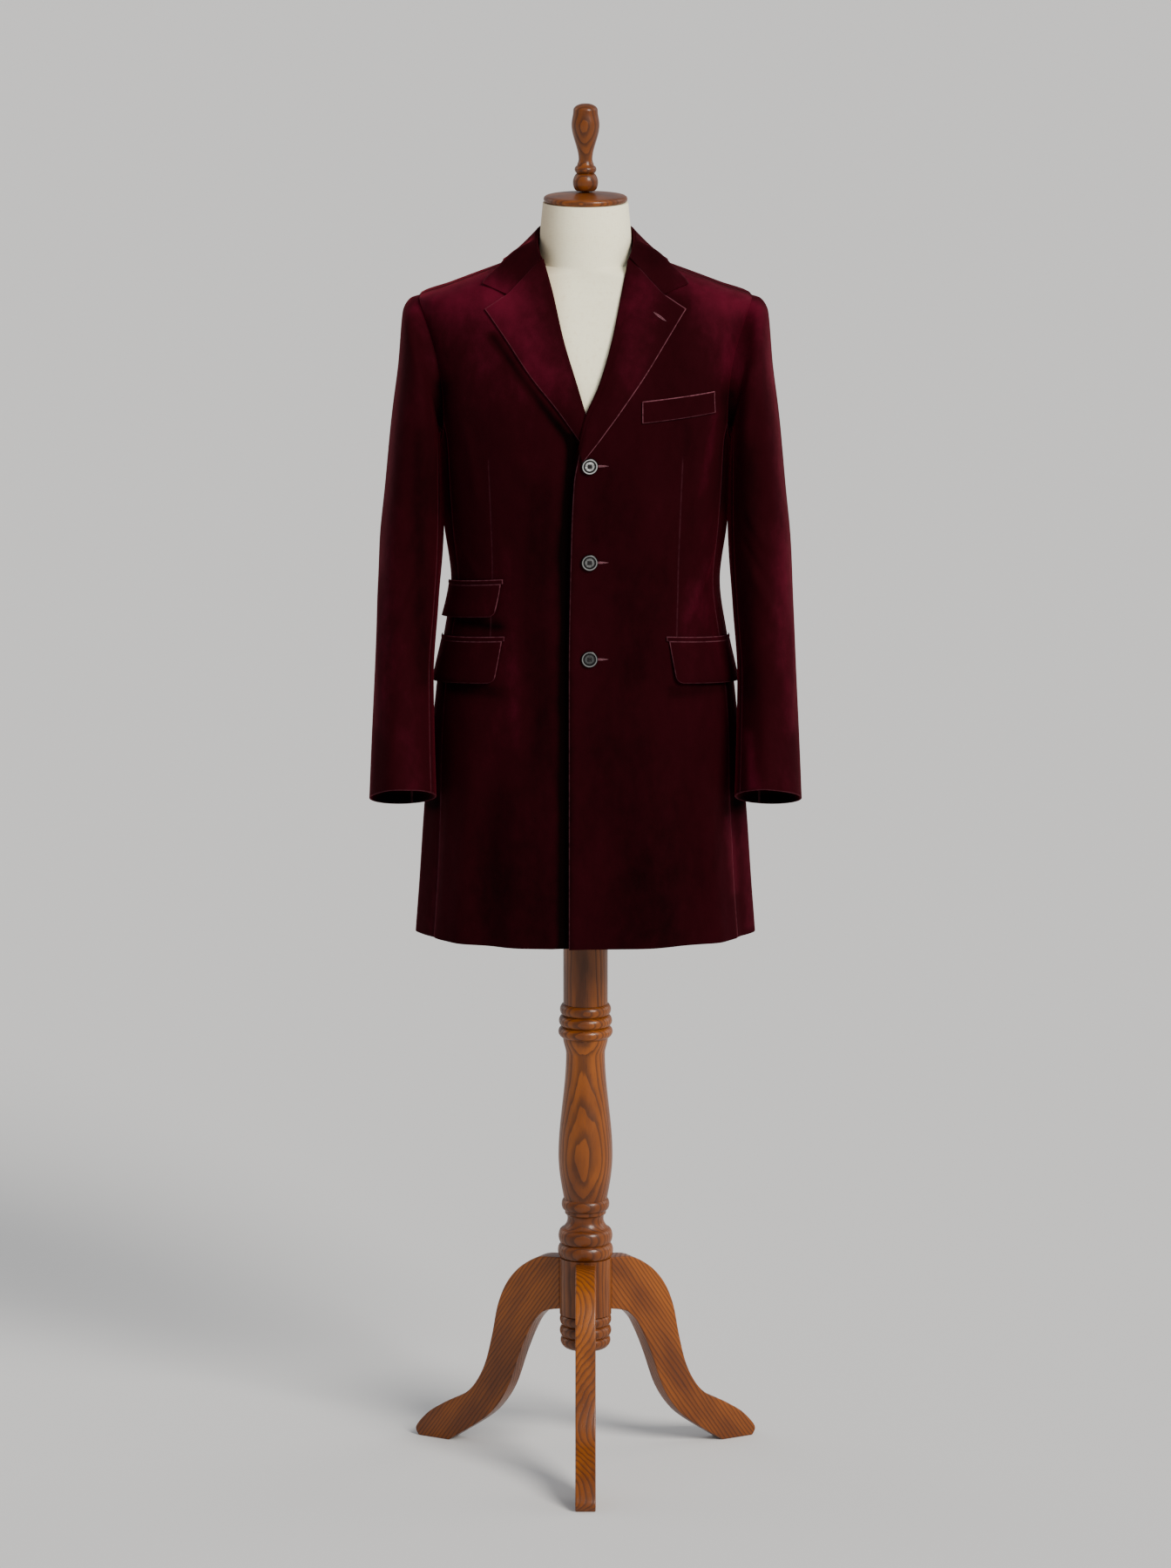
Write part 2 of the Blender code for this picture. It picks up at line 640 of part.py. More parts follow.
def turned_profile(top, rows):
    """Points from the top down the outer side, as radius and height."""
    points = []
    for row in rows:
        for k in range(row.steps + 1):
            t = k / row.steps
            share = t
            if row.shape == "ease":
                share = eased(t)
            if row.shape == "round":
                share = math.sqrt(1 - (1 - t) ** 2)
            if row.shape == "round down":
                share = 1 - math.cos(math.pi / 2 * t)
            radius = blend(row.start, row.end, share)
            if row.shape == "bead":
                radius += row.swell * math.sin(math.pi * t) ** BEAD_ROUNDNESS
            points.append((radius, blend(top, row.bottom, t)))
        top = row.bottom
    kept = [points[0]]
    for point in points[1:]:
        if math.dist(point, kept[-1]) > SHORTEST_EDGE:
            kept.append(point)
    return kept


def add_turned(name, top, rows, steps, finish):
    """A profile turned round Z, closed on its axis at both ends."""
    profile = turned_profile(top, rows)
    if profile[0][0] > 0:
        profile.insert(0, (0.0, profile[0][1]))
    profile.append((0.0, profile[-1][1]))
    mesh = bpy.data.meshes.new(name)
    edges = [(k, k + 1) for k in range(len(profile) - 1)]
    mesh.from_pydata([(radius, 0, height) for radius, height in profile], edges, [])
    part = add_part(name, mesh, finish)
    screw = part.modifiers.new("turning", "SCREW")
    screw.steps = steps
    screw.render_steps = steps
    screw.use_merge_vertices = True
    screw.merge_threshold = 0.0001
    screw.use_smooth_shade = True
    return part


def add_button(name, height):
    """A dished button with a raised rim, lying on the left front."""
    part = add_turned(name, BUTTON_FACE, BUTTON, BUTTON_STEPS, "horn")
    seat = front_point(BUTTON_X, height)
    facing = front_point(BUTTON_X, height, 1.0) - seat
    part.location = seat + BUTTON_SEAT * facing
    part.rotation_euler = facing.to_track_quat("Z", "Y").to_euler()


FORM_ROWS = PANEL_ROWS - 2 - FORM_FIRST_ROW


def form_point(across, up):
    row = round(up * (FORM_ROWS + len(NECK)))
    angle = 2 * math.pi * across
    if row > FORM_ROWS:
        ring = NECK[row - FORM_ROWS - 1]
        return Vector((ring.radius * math.cos(angle), -ring.radius * math.sin(angle), ring.height))
    height = panel_height(FORM_FIRST_ROW + row) if row else FORM_BASE
    place = body_point(angle, height, -WALL - along(BODY, "air", height))
    if row == 0:
        place.z = FORM_BASE
    return place


def add_form():
    """The torso and neck: one smooth closed skin under the coat, with no limbs."""
    mesh = bpy.data.meshes.new("form_torso")
    shape = bmesh.new()
    bmesh.ops.create_grid(shape, x_segments=FORM_COLUMNS, y_segments=FORM_ROWS + len(NECK), size=0.5)
    for point in shape.verts:
        point.co = form_point(point.co.x + 0.5, point.co.y + 0.5)
    bmesh.ops.remove_doubles(shape, verts=shape.verts, dist=1e-6)
    bmesh.ops.holes_fill(shape, edges=shape.edges, sides=0)
    bmesh.ops.recalc_face_normals(shape, faces=shape.faces)
    shape.to_mesh(mesh)
    shape.free()
    mesh.shade_smooth()
    add_part("form_torso", mesh, "linen")


def add_leg(name, angle):
    """A sawn board: its outline is a flat curve, stood on edge and turned to its place."""
    outline = []
    for edge in (LEG_UPPER, LEG_LOWER):
        rows = [Station(k, *row) for k, row in enumerate(edge)]
        count = (len(rows) - 1) * LEG_SUBSTEPS
        steps = [k / LEG_SUBSTEPS for k in range(count + 1)]
        outline += [(along(rows, "reach", k), along(rows, "height", k)) for k in steps]
        if edge is LEG_UPPER:
            outline.append(LEG_TOE)
    curve = bpy.data.curves.new(name, "CURVE")
    curve.dimensions = "2D"
    curve.fill_mode = "BOTH"
    curve.extrude = LEG_THICKNESS / 2
    spline = curve.splines.new("POLY")
    spline.points.add(len(outline) - 1)
    for point, (reach, height) in zip(spline.points, outline):
        point.co = (reach + GAP, height, 0, 1)
    spline.use_cyclic_u = True
    leg = add_part(name, curve, "wood")
    leg.rotation_euler = (math.pi / 2, 0, math.radians(angle))


def cut_seat(post, name, angle):
    """A flat seat on the leg block for one leg."""
    mesh = bpy.data.meshes.new(name)
    shape = bmesh.new()
    bmesh.ops.create_cube(shape, size=1)
    block = next(row for row in COLUMN if row.name == "leg block")
    above = next(row for row in COLUMN if row.name == "foot bead")
    size = Vector((LEG_SEAT_CUT, LEG_THICKNESS + 4 * GAP, above.bottom - block.bottom - 2 * GAP))
    middle = Vector((LEG_SEAT + LEG_SEAT_CUT / 2, 0, (above.bottom + block.bottom) / 2))
    for point in shape.verts:
        point.co = middle + point.co * size
    shape.to_mesh(mesh)
    shape.free()
    cutter = add_part(name, mesh, "wood", CUTTERS)
    cutter.rotation_euler.z = math.radians(angle)
    cutter.hide_render = True
    cutter.display_type = "WIRE"
    cut = post.modifiers.new(name, "BOOLEAN")
    cut.operation = "DIFFERENCE"
    cut.object = cutter


def add_coat():
    for side, hand in ((1, "left"), (-1, "right")):
        add_front(f"front_{hand}", side)
        add_side(f"side_{hand}", side)
        add_back(f"back_{hand}", side)
        add_sleeve_piece(f"top_sleeve_{hand}", side, SLEEVE_BACK_SEAM, SLEEVE_FRONT_SEAM)
        add_sleeve_piece(f"under_sleeve_{hand}", side, SLEEVE_FRONT_SEAM, ARM_STEPS + SLEEVE_BACK_SEAM)
    add_lapel("lapel_left", 1, LAPEL_LEFT)
    add_lapel("lapel_right", -1, LAPEL_RIGHT)
    add_collar()
    add_welt()
    for pocket in POCKETS:
        add_flap(pocket)
        add_jet(pocket)
    for name, height in BUTTON_HEIGHTS.items():
        add_button(name, height)


def add_stand():
    add_form()
    add_turned("neck_cap", CAP_TOP, NECK_CAP, TURN_STEPS, "wood")
    add_turned("finial", FINIAL_TOP, FINIAL, TURN_STEPS, "wood")
    add_turned("pole", POLE_TOP, POLE, TURN_STEPS, "wood")
    column = add_turned("column", COLUMN_TOP, COLUMN, TURN_STEPS, "wood")
    for name, angle in LEG_ANGLES.items():
        add_leg(name, angle)
        cut_seat(column, f"seat_{name}", angle)


add_coat()
add_stand()
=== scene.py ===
# %% [markdown]
# # A velvet coat on its dress form
# The frame holds the coat as rigid solids of the true shape, with the form and the stand that carry it.
# This lesson lays the looks over them: soft velvet, linen, varnished wood and polished buttons.
# Each piece is worked out again on the same sizes at a finer grain, so it sits where its solid sits.
# A few places stand a little off it, such as the sleeve heads, which the photograph shows fuller.

# %% Load the frame
import math
from collections import namedtuple

import bpy
import numpy as np
from mathutils import Matrix, Vector


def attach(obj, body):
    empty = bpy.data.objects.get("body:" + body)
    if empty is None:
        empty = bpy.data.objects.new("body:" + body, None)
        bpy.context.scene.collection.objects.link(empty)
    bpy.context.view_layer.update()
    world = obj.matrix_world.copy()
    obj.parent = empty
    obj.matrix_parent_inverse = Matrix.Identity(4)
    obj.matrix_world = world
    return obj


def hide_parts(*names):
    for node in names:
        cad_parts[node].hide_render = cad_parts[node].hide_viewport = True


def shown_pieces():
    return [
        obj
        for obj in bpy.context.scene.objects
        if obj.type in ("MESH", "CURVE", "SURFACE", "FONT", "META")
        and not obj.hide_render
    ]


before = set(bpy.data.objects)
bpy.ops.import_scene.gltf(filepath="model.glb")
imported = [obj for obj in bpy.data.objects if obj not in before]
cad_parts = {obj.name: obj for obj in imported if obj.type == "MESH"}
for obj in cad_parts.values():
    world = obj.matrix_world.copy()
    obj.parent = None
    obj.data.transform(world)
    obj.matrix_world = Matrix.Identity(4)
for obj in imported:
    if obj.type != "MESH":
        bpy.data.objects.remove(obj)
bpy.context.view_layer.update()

# %% [markdown]
# ## Reading a size table
# A tailor measures a body at a few heights and lets the cloth run smoothly between them.
# A straight line between two rows would leave a corner at each row, and a free spline would bulge past them.
# A monotone cubic does neither, so it reads all the tables below.

# %% Smooth values between rows


def blend(a, b, t):
    return a + (b - a) * t


def eased(t):
    """0 to 1 with a level start and end."""
    t = np.clip(t, 0.0, 1.0)
    return t * t * (3 - 2 * t)


def level_slopes(slopes):
    """Slopes at the rows that never carry the curve past a row."""
    before, after = slopes[:-1], slopes[1:]
    same_way = before * after > 0
    total = np.where(same_way, before + after, 1.0)
    inner = np.where(same_way, 2 * before * after / total, 0.0)
    return np.concatenate([slopes[:1], inner, slopes[-1:]])


def along(rows, column, at):
    """A column's values at these places of the table's first column."""
    keys = np.array([row[0] for row in rows])
    values = np.array([getattr(row, column) for row in rows])
    spans = np.diff(keys)
    slopes = np.diff(values) / spans
    bends = level_slopes(slopes)
    at = np.clip(at, keys[0], keys[-1])
    i = np.clip(np.searchsorted(keys, at, side="right") - 1, 0, len(spans) - 1)
    t = (at - keys[i]) / spans[i]
    bend = bends[i] * (1 - t) - bends[i + 1] * t - slopes[i] * (1 - 2 * t)
    return blend(values[i], values[i + 1], t) + spans[i] * t * (1 - t) * bend


def through(rings, at):
    """Points on smooth curves through a stack of rings, each point at its own place in the stack."""
    slopes = np.diff(rings, axis=0)
    bends = level_slopes(slopes)
    i = np.clip(np.floor(at).astype(int), 0, len(slopes) - 1)
    t = (at - i)[:, None]

    def pick(stack, index):
        return np.take_along_axis(stack, index[None, :, None], axis=0)[0]

    bend = pick(bends, i) * (1 - t) - pick(bends, i + 1) * t - pick(slopes, i) * (1 - 2 * t)
    return blend(pick(rings, i), pick(rings, i + 1), t) + t * (1 - t) * bend


print("a quarter of the way is eased to", eased(0.25))

# %% [markdown]
# ## The body of the coat
# A tailored coat is a tube shaped by its seams: wide at the hem, close at the waist, full at the chest.
# One ring for each height gives the tube, and a point on it is named by its angle and its height.
# Angle 0 is the wearer's side, 90 degrees the front and -90 the back.

# %% Rings of the body
WALL = 0.002
POST_Y = 0.058
Ring = namedtuple("Ring", "height half_width front back fullness air")
BODY = [
    Ring(0.728, 0.2215, 0.1350, 0.1420, 2.20, 0.0200),
    Ring(0.800, 0.2160, 0.1330, 0.1360, 2.20, 0.0200),
    Ring(0.890, 0.2100, 0.1300, 0.1280, 2.25, 0.0200),
    Ring(1.050, 0.1965, 0.1275, 0.1160, 2.30, 0.0140),
    Ring(1.120, 0.1865, 0.1265, 0.1060, 2.30, 0.0100),
    Ring(1.207, 0.1745, 0.1260, 0.0940, 2.30, 0.0060),
    Ring(1.270, 0.1790, 0.1285, 0.1020, 2.30, 0.0060),
    Ring(1.330, 0.1825, 0.1330, 0.1130, 2.35, 0.0060),
    Ring(1.385, 0.1855, 0.1370, 0.1220, 2.40, 0.0060),
    Ring(1.430, 0.1950, 0.1360, 0.1250, 2.45, 0.0060),
    Ring(1.470, 0.2020, 0.1280, 0.1240, 2.50, 0.0050),
    Ring(1.510, 0.2085, 0.1120, 0.1180, 2.65, 0.0040),
    Ring(1.540, 0.2135, 0.0940, 0.1080, 2.90, 0.0030),
    Ring(1.560, 0.2163, 0.0810, 0.0980, 3.10, 0.0014),
    Ring(1.570, 0.2170, 0.0755, 0.0920, 3.20, 0.0011),
    Ring(1.585, 0.1790, 0.0690, 0.0850, 3.20, 0.0008),
    Ring(1.600, 0.1400, 0.0650, 0.0800, 3.00, 0.0007),
    Ring(1.613, 0.1060, 0.0630, 0.0770, 2.70, 0.0004),
    Ring(1.625, 0.0810, 0.0625, 0.0745, 2.40, 0.0004),
    Ring(1.632, 0.0715, 0.0625, 0.0735, 2.30, 0.0004),
]
HEM = BODY[0].height
NECK_EDGE = BODY[-1].height


def ring_points(angle, height):
    across, forward = np.cos(angle), np.sin(angle)
    width = along(BODY, "half_width", height)
    depth = np.where(forward > 0, along(BODY, "front", height), along(BODY, "back", height))
    power = 2 / along(BODY, "fullness", height)
    x = width * np.sign(across) * np.abs(across) ** power
    y = POST_Y - depth * np.sign(forward) * np.abs(forward) ** power
    return np.stack([x, y, height + 0 * x], axis=-1)


def angle_at(x, height):
    """The angle of the front's point that has this x."""
    share = np.clip(np.abs(x) / along(BODY, "half_width", height), 0.0, 1.0)
    return np.arccos(np.sign(x) * share ** (along(BODY, "fullness", height) / 2))


print("hem", HEM, "neck edge", NECK_EDGE, "rings", len(BODY))

# %% [markdown]
# ## Folds of the body
# Velvet is heavy, so it falls in a few long soft folds and no sharp ones.
# Each row is one fold: a ridge if its depth is positive, a trough if it is negative.
# The ones in front follow the photograph, and the ones at the back are of the same kind.
# Folds that run on past the hem have their bottom row set below it.

# %% Folds by angle and height
Fold = namedtuple("Fold", "top_turn top bottom_turn bottom width depth")
FOLDS = [
    Fold(44, 1.060, 37, 0.560, 0.016, 0.0046),
    Fold(56, 1.020, 54, 0.540, 0.022, -0.0040),
    Fold(69, 1.070, 71, 0.560, 0.024, 0.0034),
    Fold(24, 1.030, 20, 0.600, 0.015, -0.0038),
    Fold(10, 1.090, 7, 0.580, 0.016, 0.0042),
    Fold(133, 1.040, 138, 0.560, 0.018, 0.0040),
    Fold(122, 1.030, 123, 0.600, 0.020, -0.0034),
    Fold(112, 1.090, 113, 0.560, 0.022, 0.0036),
    Fold(154, 1.020, 158, 0.600, 0.016, -0.0036),
    Fold(171, 1.080, 174, 0.580, 0.016, 0.0044),
    Fold(18, 1.262, 49, 1.140, 0.010, 0.0030),
    Fold(30, 1.240, 56, 1.165, 0.008, -0.0016),
    Fold(163, 1.268, 138, 1.210, 0.009, 0.0022),
    Fold(35, 1.452, 45, 1.300, 0.011, 0.0030),
    Fold(145, 1.448, 136, 1.290, 0.012, 0.0026),
    Fold(62, 1.395, 74, 1.330, 0.012, 0.0016),
    Fold(118, 1.390, 106, 1.320, 0.013, 0.0016),
    Fold(80, 1.215, 60, 1.150, 0.012, 0.0014),
    Fold(0, 1.500, 0, 1.190, 0.045, 0.0046),
    Fold(0, 1.400, 0, 1.150, 0.040, 0.0022),
    Fold(180, 1.500, 180, 1.190, 0.045, 0.0046),
    Fold(180, 1.400, 180, 1.150, 0.040, 0.0022),
    Fold(-24, 1.060, -22, 0.600, 0.018, 0.0044),
    Fold(-46, 1.030, -50, 0.560, 0.022, -0.0040),
    Fold(-66, 1.050, -64, 0.580, 0.020, 0.0042),
    Fold(-80, 1.020, -82, 0.600, 0.014, -0.0024),
    Fold(-98, 1.040, -96, 0.580, 0.016, 0.0030),
    Fold(-116, 1.080, -119, 0.560, 0.022, 0.0044),
    Fold(-134, 1.020, -131, 0.600, 0.020, -0.0042),
    Fold(-155, 1.060, -159, 0.580, 0.018, 0.0040),
    Fold(-28, 1.440, -52, 1.250, 0.012, 0.0030),
    Fold(-152, 1.450, -130, 1.270, 0.013, 0.0028),
    Fold(-40, 1.235, -76, 1.190, 0.010, 0.0020),
    Fold(-138, 1.225, -104, 1.175, 0.011, 0.0022),
]
BODY_RADIUS = 0.17
FOLD_FADE = 0.32


def folded(folds, turn, row, radius):
    """How far these folds carry the cloth in or out, by the turn round the piece and the place along it."""
    total = np.zeros(np.broadcast(turn, row).shape)
    for fold in folds:
        share = (row - fold.top) / (fold.bottom - fold.top)
        middle = np.radians(blend(fold.top_turn, fold.bottom_turn, share))
        aside = (turn - middle + np.pi) % (2 * np.pi) - np.pi
        fade = eased(share / FOLD_FADE) * eased((1 - share) / FOLD_FADE)
        total += fold.depth * fade * np.exp(-((aside * radius / fold.width) ** 2))
    return total


def surface_points(angle, height, out):
    """Points of the body's smooth surface, moved out along it."""
    step = 0.01
    rise = 0.002
    round_way = ring_points(angle + step, height) - ring_points(angle - step, height)
    up_way = ring_points(angle, height + rise) - ring_points(angle, height - rise)
    outward = np.cross(up_way, round_way)
    outward /= np.linalg.norm(outward, axis=-1, keepdims=True)
    return ring_points(angle, height) + outward * out[..., None]


def body_points(angle, height, out, side):
    """Points of the coat on one side of the body, moved out by its folds as well."""
    whole_angle = angle if side > 0 else np.pi - angle
    drape = folded(FOLDS, whole_angle, height, BODY_RADIUS)
    moved = surface_points(angle, height, out + drape)
    return moved * np.array([side, 1.0, 1.0])


print("folds", len(FOLDS))

# %% [markdown]
# ## Painted light and shade on the velvet
# Each row is one stroke on the front, from one spot to another, with its half width and how much it lightens.
# The light strokes are painted highlights on the shoulders, lapels, chest, waist, skirt sides and sleeve
# edges.
# The dark ones are painted shadows: beside the lapped edge, along a lapel, under the arms and flaps, on the
# sleeves' inner sides and inside the cuffs.
# A few broad ones darken wide parts of the skirt and the front.

# %% Strokes of painted light and shade
LightStroke = namedtuple("LightStroke", "x height to_x to_height half_width amount")
LIGHT_AND_SHADE_STROKES = [
    LightStroke(-0.017, 1.400, -0.026, 1.280, 0.007, -1.00),
    LightStroke(-0.027, 1.268, -0.029, 0.690, 0.008, -1.00),
    LightStroke(-0.056, 1.330, -0.062, 0.700, 0.028, -0.34),
    LightStroke(-0.118, 1.528, -0.016, 1.394, 0.006, -0.80),
    LightStroke(-0.186, 1.462, -0.184, 1.300, 0.013, -0.80),
    LightStroke(0.187, 1.450, 0.184, 1.300, 0.012, -0.80),
    LightStroke(-0.170, 1.152, -0.112, 1.152, 0.009, -0.80),
    LightStroke(-0.190, 1.066, -0.112, 1.066, 0.010, -0.60),
    LightStroke(0.112, 1.066, 0.190, 1.066, 0.010, -0.45),
    LightStroke(-0.130, 0.920, -0.120, 0.700, 0.036, -0.40),
    LightStroke(0.040, 1.330, 0.060, 1.120, 0.050, -0.24),
    LightStroke(0.100, 1.470, 0.110, 1.400, 0.030, -0.10),
    LightStroke(-0.205, 1.574, -0.125, 1.588, 0.030, 0.50),
    LightStroke(0.125, 1.598, 0.205, 1.568, 0.022, 0.60),
    LightStroke(0.160, 1.550, 0.185, 1.500, 0.030, 0.26),
    LightStroke(-0.100, 1.570, -0.052, 1.480, 0.036, 0.50),
    LightStroke(-0.160, 1.540, -0.125, 1.470, 0.040, 0.20),
    LightStroke(0.075, 1.590, 0.056, 1.490, 0.028, 0.34),
    LightStroke(0.168, 1.425, 0.148, 1.330, 0.011, 0.30),
    LightStroke(0.162, 1.290, 0.142, 1.160, 0.022, 0.16),
    LightStroke(0.171, 1.248, 0.130, 1.160, 0.006, 0.12),
    LightStroke(-0.100, 1.250, -0.086, 1.000, 0.014, 0.22),
    LightStroke(0.060, 0.980, 0.080, 0.740, 0.080, -0.38),
    LightStroke(0.186, 0.890, 0.196, 0.790, 0.008, 0.40),
    LightStroke(0.208, 0.900, 0.216, 0.740, 0.008, 0.45),
    LightStroke(-0.190, 0.900, -0.196, 0.740, 0.010, 0.20),
    LightStroke(-0.250, 1.450, -0.268, 1.020, 0.013, 0.22),
    LightStroke(-0.216, 1.400, -0.214, 1.080, 0.013, -0.45),
    LightStroke(-0.236, 1.010, -0.228, 0.940, 0.018, 0.25),
    LightStroke(0.224, 1.566, 0.243, 1.470, 0.013, 0.40),
    LightStroke(0.252, 1.450, 0.270, 1.020, 0.014, 0.38),
    LightStroke(0.214, 1.380, 0.212, 1.060, 0.013, -0.40),
    LightStroke(0.213, 1.010, 0.219, 0.945, 0.009, 0.45),
    # Painted shadow inside the cuffs.
    LightStroke(-0.278, 0.905, -0.200, 0.907, 0.011, -1.30),
    LightStroke(0.200, 0.907, 0.278, 0.905, 0.011, -1.30),
]
FRONT_FADE = 0.030


def nearness(points, stroke):
    """1 on a stroke, falling to 0 away from it, as seen from the front."""
    start = np.array([stroke.x, stroke.height])
    way = np.array([stroke.to_x, stroke.to_height]) - start
    from_start = points[:, [0, 2]] - start
    share = np.clip(from_start @ way / (way @ way), 0.0, 1.0)
    away = np.linalg.norm(from_start - share[:, None] * way, axis=1)
    return np.exp(-((away / stroke.half_width) ** 2))


def stroked_light_and_shade(points):
    """How much the strokes' painted light and shade lighten or darken each point. The back gets none of it.
    """
    total = sum(stroke.amount * nearness(points, stroke) for stroke in LIGHT_AND_SHADE_STROKES)
    return total * eased((POST_Y - points[:, 1]) / FRONT_FADE)


print("strokes", len(LIGHT_AND_SHADE_STROKES))

# %% [markdown]
# ## Cutting and sewing a sheet
# A sheet of cloth starts as a grid, because a grid keeps the weave's two ways.
# Its points are then laid on the body, and Solidify gives it its thickness outwards.
# Near a sewn edge the cloth dips into its seam, so the grid's columns crowd towards its edges.
# Some measures stay on the cloth for its finish: how far the nearest edge with a painted highlight and the
# nearest seam are, and the painted light and shade of the strokes.

# %% Helpers for a mesh


def clear_selection():
    if bpy.context.mode != "OBJECT":
        bpy.ops.object.mode_set(mode="OBJECT")
    bpy.ops.object.select_all(action="DESELECT")


def edit_all():
    """Goes into edit mode with the whole mesh selected."""
    bpy.ops.object.mode_set(mode="EDIT")
    bpy.ops.mesh.select_all(action="SELECT")


def points_of(piece):
    spots = np.empty(len(piece.data.vertices) * 3)
    piece.data.vertices.foreach_get("co", spots)
    return spots.reshape(-1, 3)


def keep(piece, title, values):
    """Keeps a measure on each point, for the finish to read."""
    piece.data.attributes.new(title, "FLOAT", "POINT").data.foreach_set("value", values)


def add_grid(name, columns, rows):
    """A flat grid, with its points' shares across and along it, from 0 to 1."""
    clear_selection()
    bpy.ops.mesh.primitive_grid_add(x_subdivisions=columns, y_subdivisions=rows, size=1)
    grid = bpy.context.object
    grid.name = name
    shares = np.round(points_of(grid) + 0.5, 6)
    return grid, shares[:, 0], shares[:, 1]


def round_edges(piece, width, segments, sharpest):
    """Adds a bevel for the edges that turn by more than this many degrees."""
    bevel = piece.modifiers.new("rounded edges", "BEVEL")
    bevel.width = width
    bevel.segments = segments
    bevel.limit_method = "ANGLE"
    bevel.angle_limit = math.radians(sharpest)


def apply_modifiers(piece):
    bpy.context.view_layer.objects.active = piece
    for modifier in list(piece.modifiers):
        bpy.ops.object.modifier_apply(modifier=modifier.name)


for helper in (add_grid, keep, round_edges):
    print(f"{helper.__name__}: {helper.__doc__}")

# %% Distances along a net of points
EDGE_CROWD = 0.62


def crowded(share):
    """Shares from 0 to 1 that lie closer together near both ends."""
    return share - EDGE_CROWD / (2 * np.pi) * np.sin(2 * np.pi * share)


def edge_distances(net):
    """Distances along the cloth to each of the four edges of a net of points."""
    found = {}
    for axis, near, far in ((1, "start", "end"), (0, "first", "last")):
        steps = np.linalg.norm(np.diff(net, axis=axis), axis=2)
        walked = np.cumsum(steps, axis=axis)
        walked = np.concatenate([np.zeros_like(walked.take([0], axis)), walked], axis=axis)
        found[near] = walked
        found[far] = walked.take([-1], axis) - walked
    return found


def net_area(net):
    """The area of a net of points, as the sum of its triangles."""
    a, b, c, d = net[:-1, :-1], net[:-1, 1:], net[1:, :-1], net[1:, 1:]
    halves = [np.cross(b - a, c - a), np.cross(b - d, c - d)]
    return float(sum(np.linalg.norm(half, axis=2).sum() for half in halves) / 2)


print("the first tenth of the columns lies within", round(float(crowded(0.1)), 3), "of the width")

# %% One sheet
SEAM_DIP = 0.0009
SEAM_SOFT = 0.0032
FAR = 0.05
WALL_ROUND_SHARE = 0.4
CUTS = {}
VELVET = {}


def no_dart(points):
    return np.full(len(points), FAR), np.full(len(points), FAR)


def add_cloth(node, place, columns, rows, painted_edge_highlights, sewn, flip, wall=WALL, dart=no_dart):
    """A sheet laid in place by a function of its grid's shares across and along.

    Its edges are start and end across it, first and last along it. Listed edges get a painted highlight line
    of the given strength, 0 to 1.
    """
    cloth, across, share = add_grid(f"velvet_{node}", columns, rows)
    order = np.lexsort((across, share))
    across = crowded(across)
    flat = place(across, share, np.zeros_like(across))
    net_distances = edge_distances(flat[order].reshape(rows + 1, columns + 1, 3))

    def from_edge(which):
        distances = np.empty(len(across))
        distances[order] = net_distances[which].ravel()
        return distances

    # Each listed edge gets a painted highlight line of its strength: paler velvet along the edge.
    edge, wear, seam = (np.full(len(across), value) for value in (FAR, 0.0, FAR))
    for which, weight in painted_edge_highlights.items():
        distance = from_edge(which)
        weights = weight(across) if callable(weight) else weight
        wear = np.where(distance < edge, weights, wear)
        edge = np.minimum(edge, distance)
    for which in sewn:
        seam = np.minimum(seam, from_edge(which))
    points = place(across, share, -SEAM_DIP * np.exp(-((seam / SEAM_SOFT) ** 2)))
    net = points[order].reshape(rows + 1, columns + 1, 3)
    away = edge_distances(net)
    CUTS[node] = (float(away["end"].max()), float(away["last"].max()), net_area(net))
    cloth.data.vertices.foreach_set("co", points.ravel())
    aside, past = dart(points)
    marks = {"edge": edge, "wear": wear, "seam": seam, "dart": aside, "past_dart": past}
    # The strokes' painted light and shade, kept on the cloth for the finish.
    marks["nap"] = stroked_light_and_shade(points)
    for title, values in marks.items():
        keep(cloth, title, values)
    if flip:
        edit_all()
        bpy.ops.mesh.flip_normals()
        bpy.ops.object.mode_set(mode="OBJECT")
    thick = cloth.modifiers.new("wall", "SOLIDIFY")
    thick.thickness = wall
    thick.offset = 1
    round_edges(cloth, wall * WALL_ROUND_SHARE, segments=2, sharpest=55)
    apply_modifiers(cloth)
    cloth.data.shade_smooth()
    VELVET[node] = cloth


def print_cut(node):
    width, length, area = CUTS[node]
    print(f"{node}: cut {width:.3f} by {length:.3f} m, {area:.4f} square metres")


print("a seam dips by", SEAM_DIP, "and the cloth is", WALL, "thick")

# %% [markdown]
# ## Fronts, sides and backs
# Six panels make the body: two fronts, two narrow sides and two backs, each running from the hem upwards.
# The fronts and backs rise past the armhole to the shoulder seam, and the sides stop under the arm.
# The left front laps over the right one, and its edge stands a little proud of it.

# %% Armhole and seams
SHOULDER = 1.570
UNDERARM = 1.385
ARM_FRONT_ANGLE = math.radians(23)
ARM_BACK_ANGLE = math.radians(27)
ARM_STEP = math.radians(15)
SEAM_STEPS = 9
SKIRT_STEPS = 14
SHOULDER_STEPS = 4
PANEL_STEPS = SKIRT_STEPS + SEAM_STEPS + SHOULDER_STEPS
FRONT_SEAM_ANGLE = math.radians(25)
BACK_SEAM_ANGLE = math.radians(-36)
ARM_MIDDLE = (SHOULDER + UNDERARM) / 2
ARM_HALF = (SHOULDER - UNDERARM) / 2
SEAM_TURN = SEAM_STEPS * ARM_STEP
SEAM_TOP = ARM_MIDDLE + ARM_HALF * math.cos(SEAM_TURN)
SEAM_GAP = 0.0003


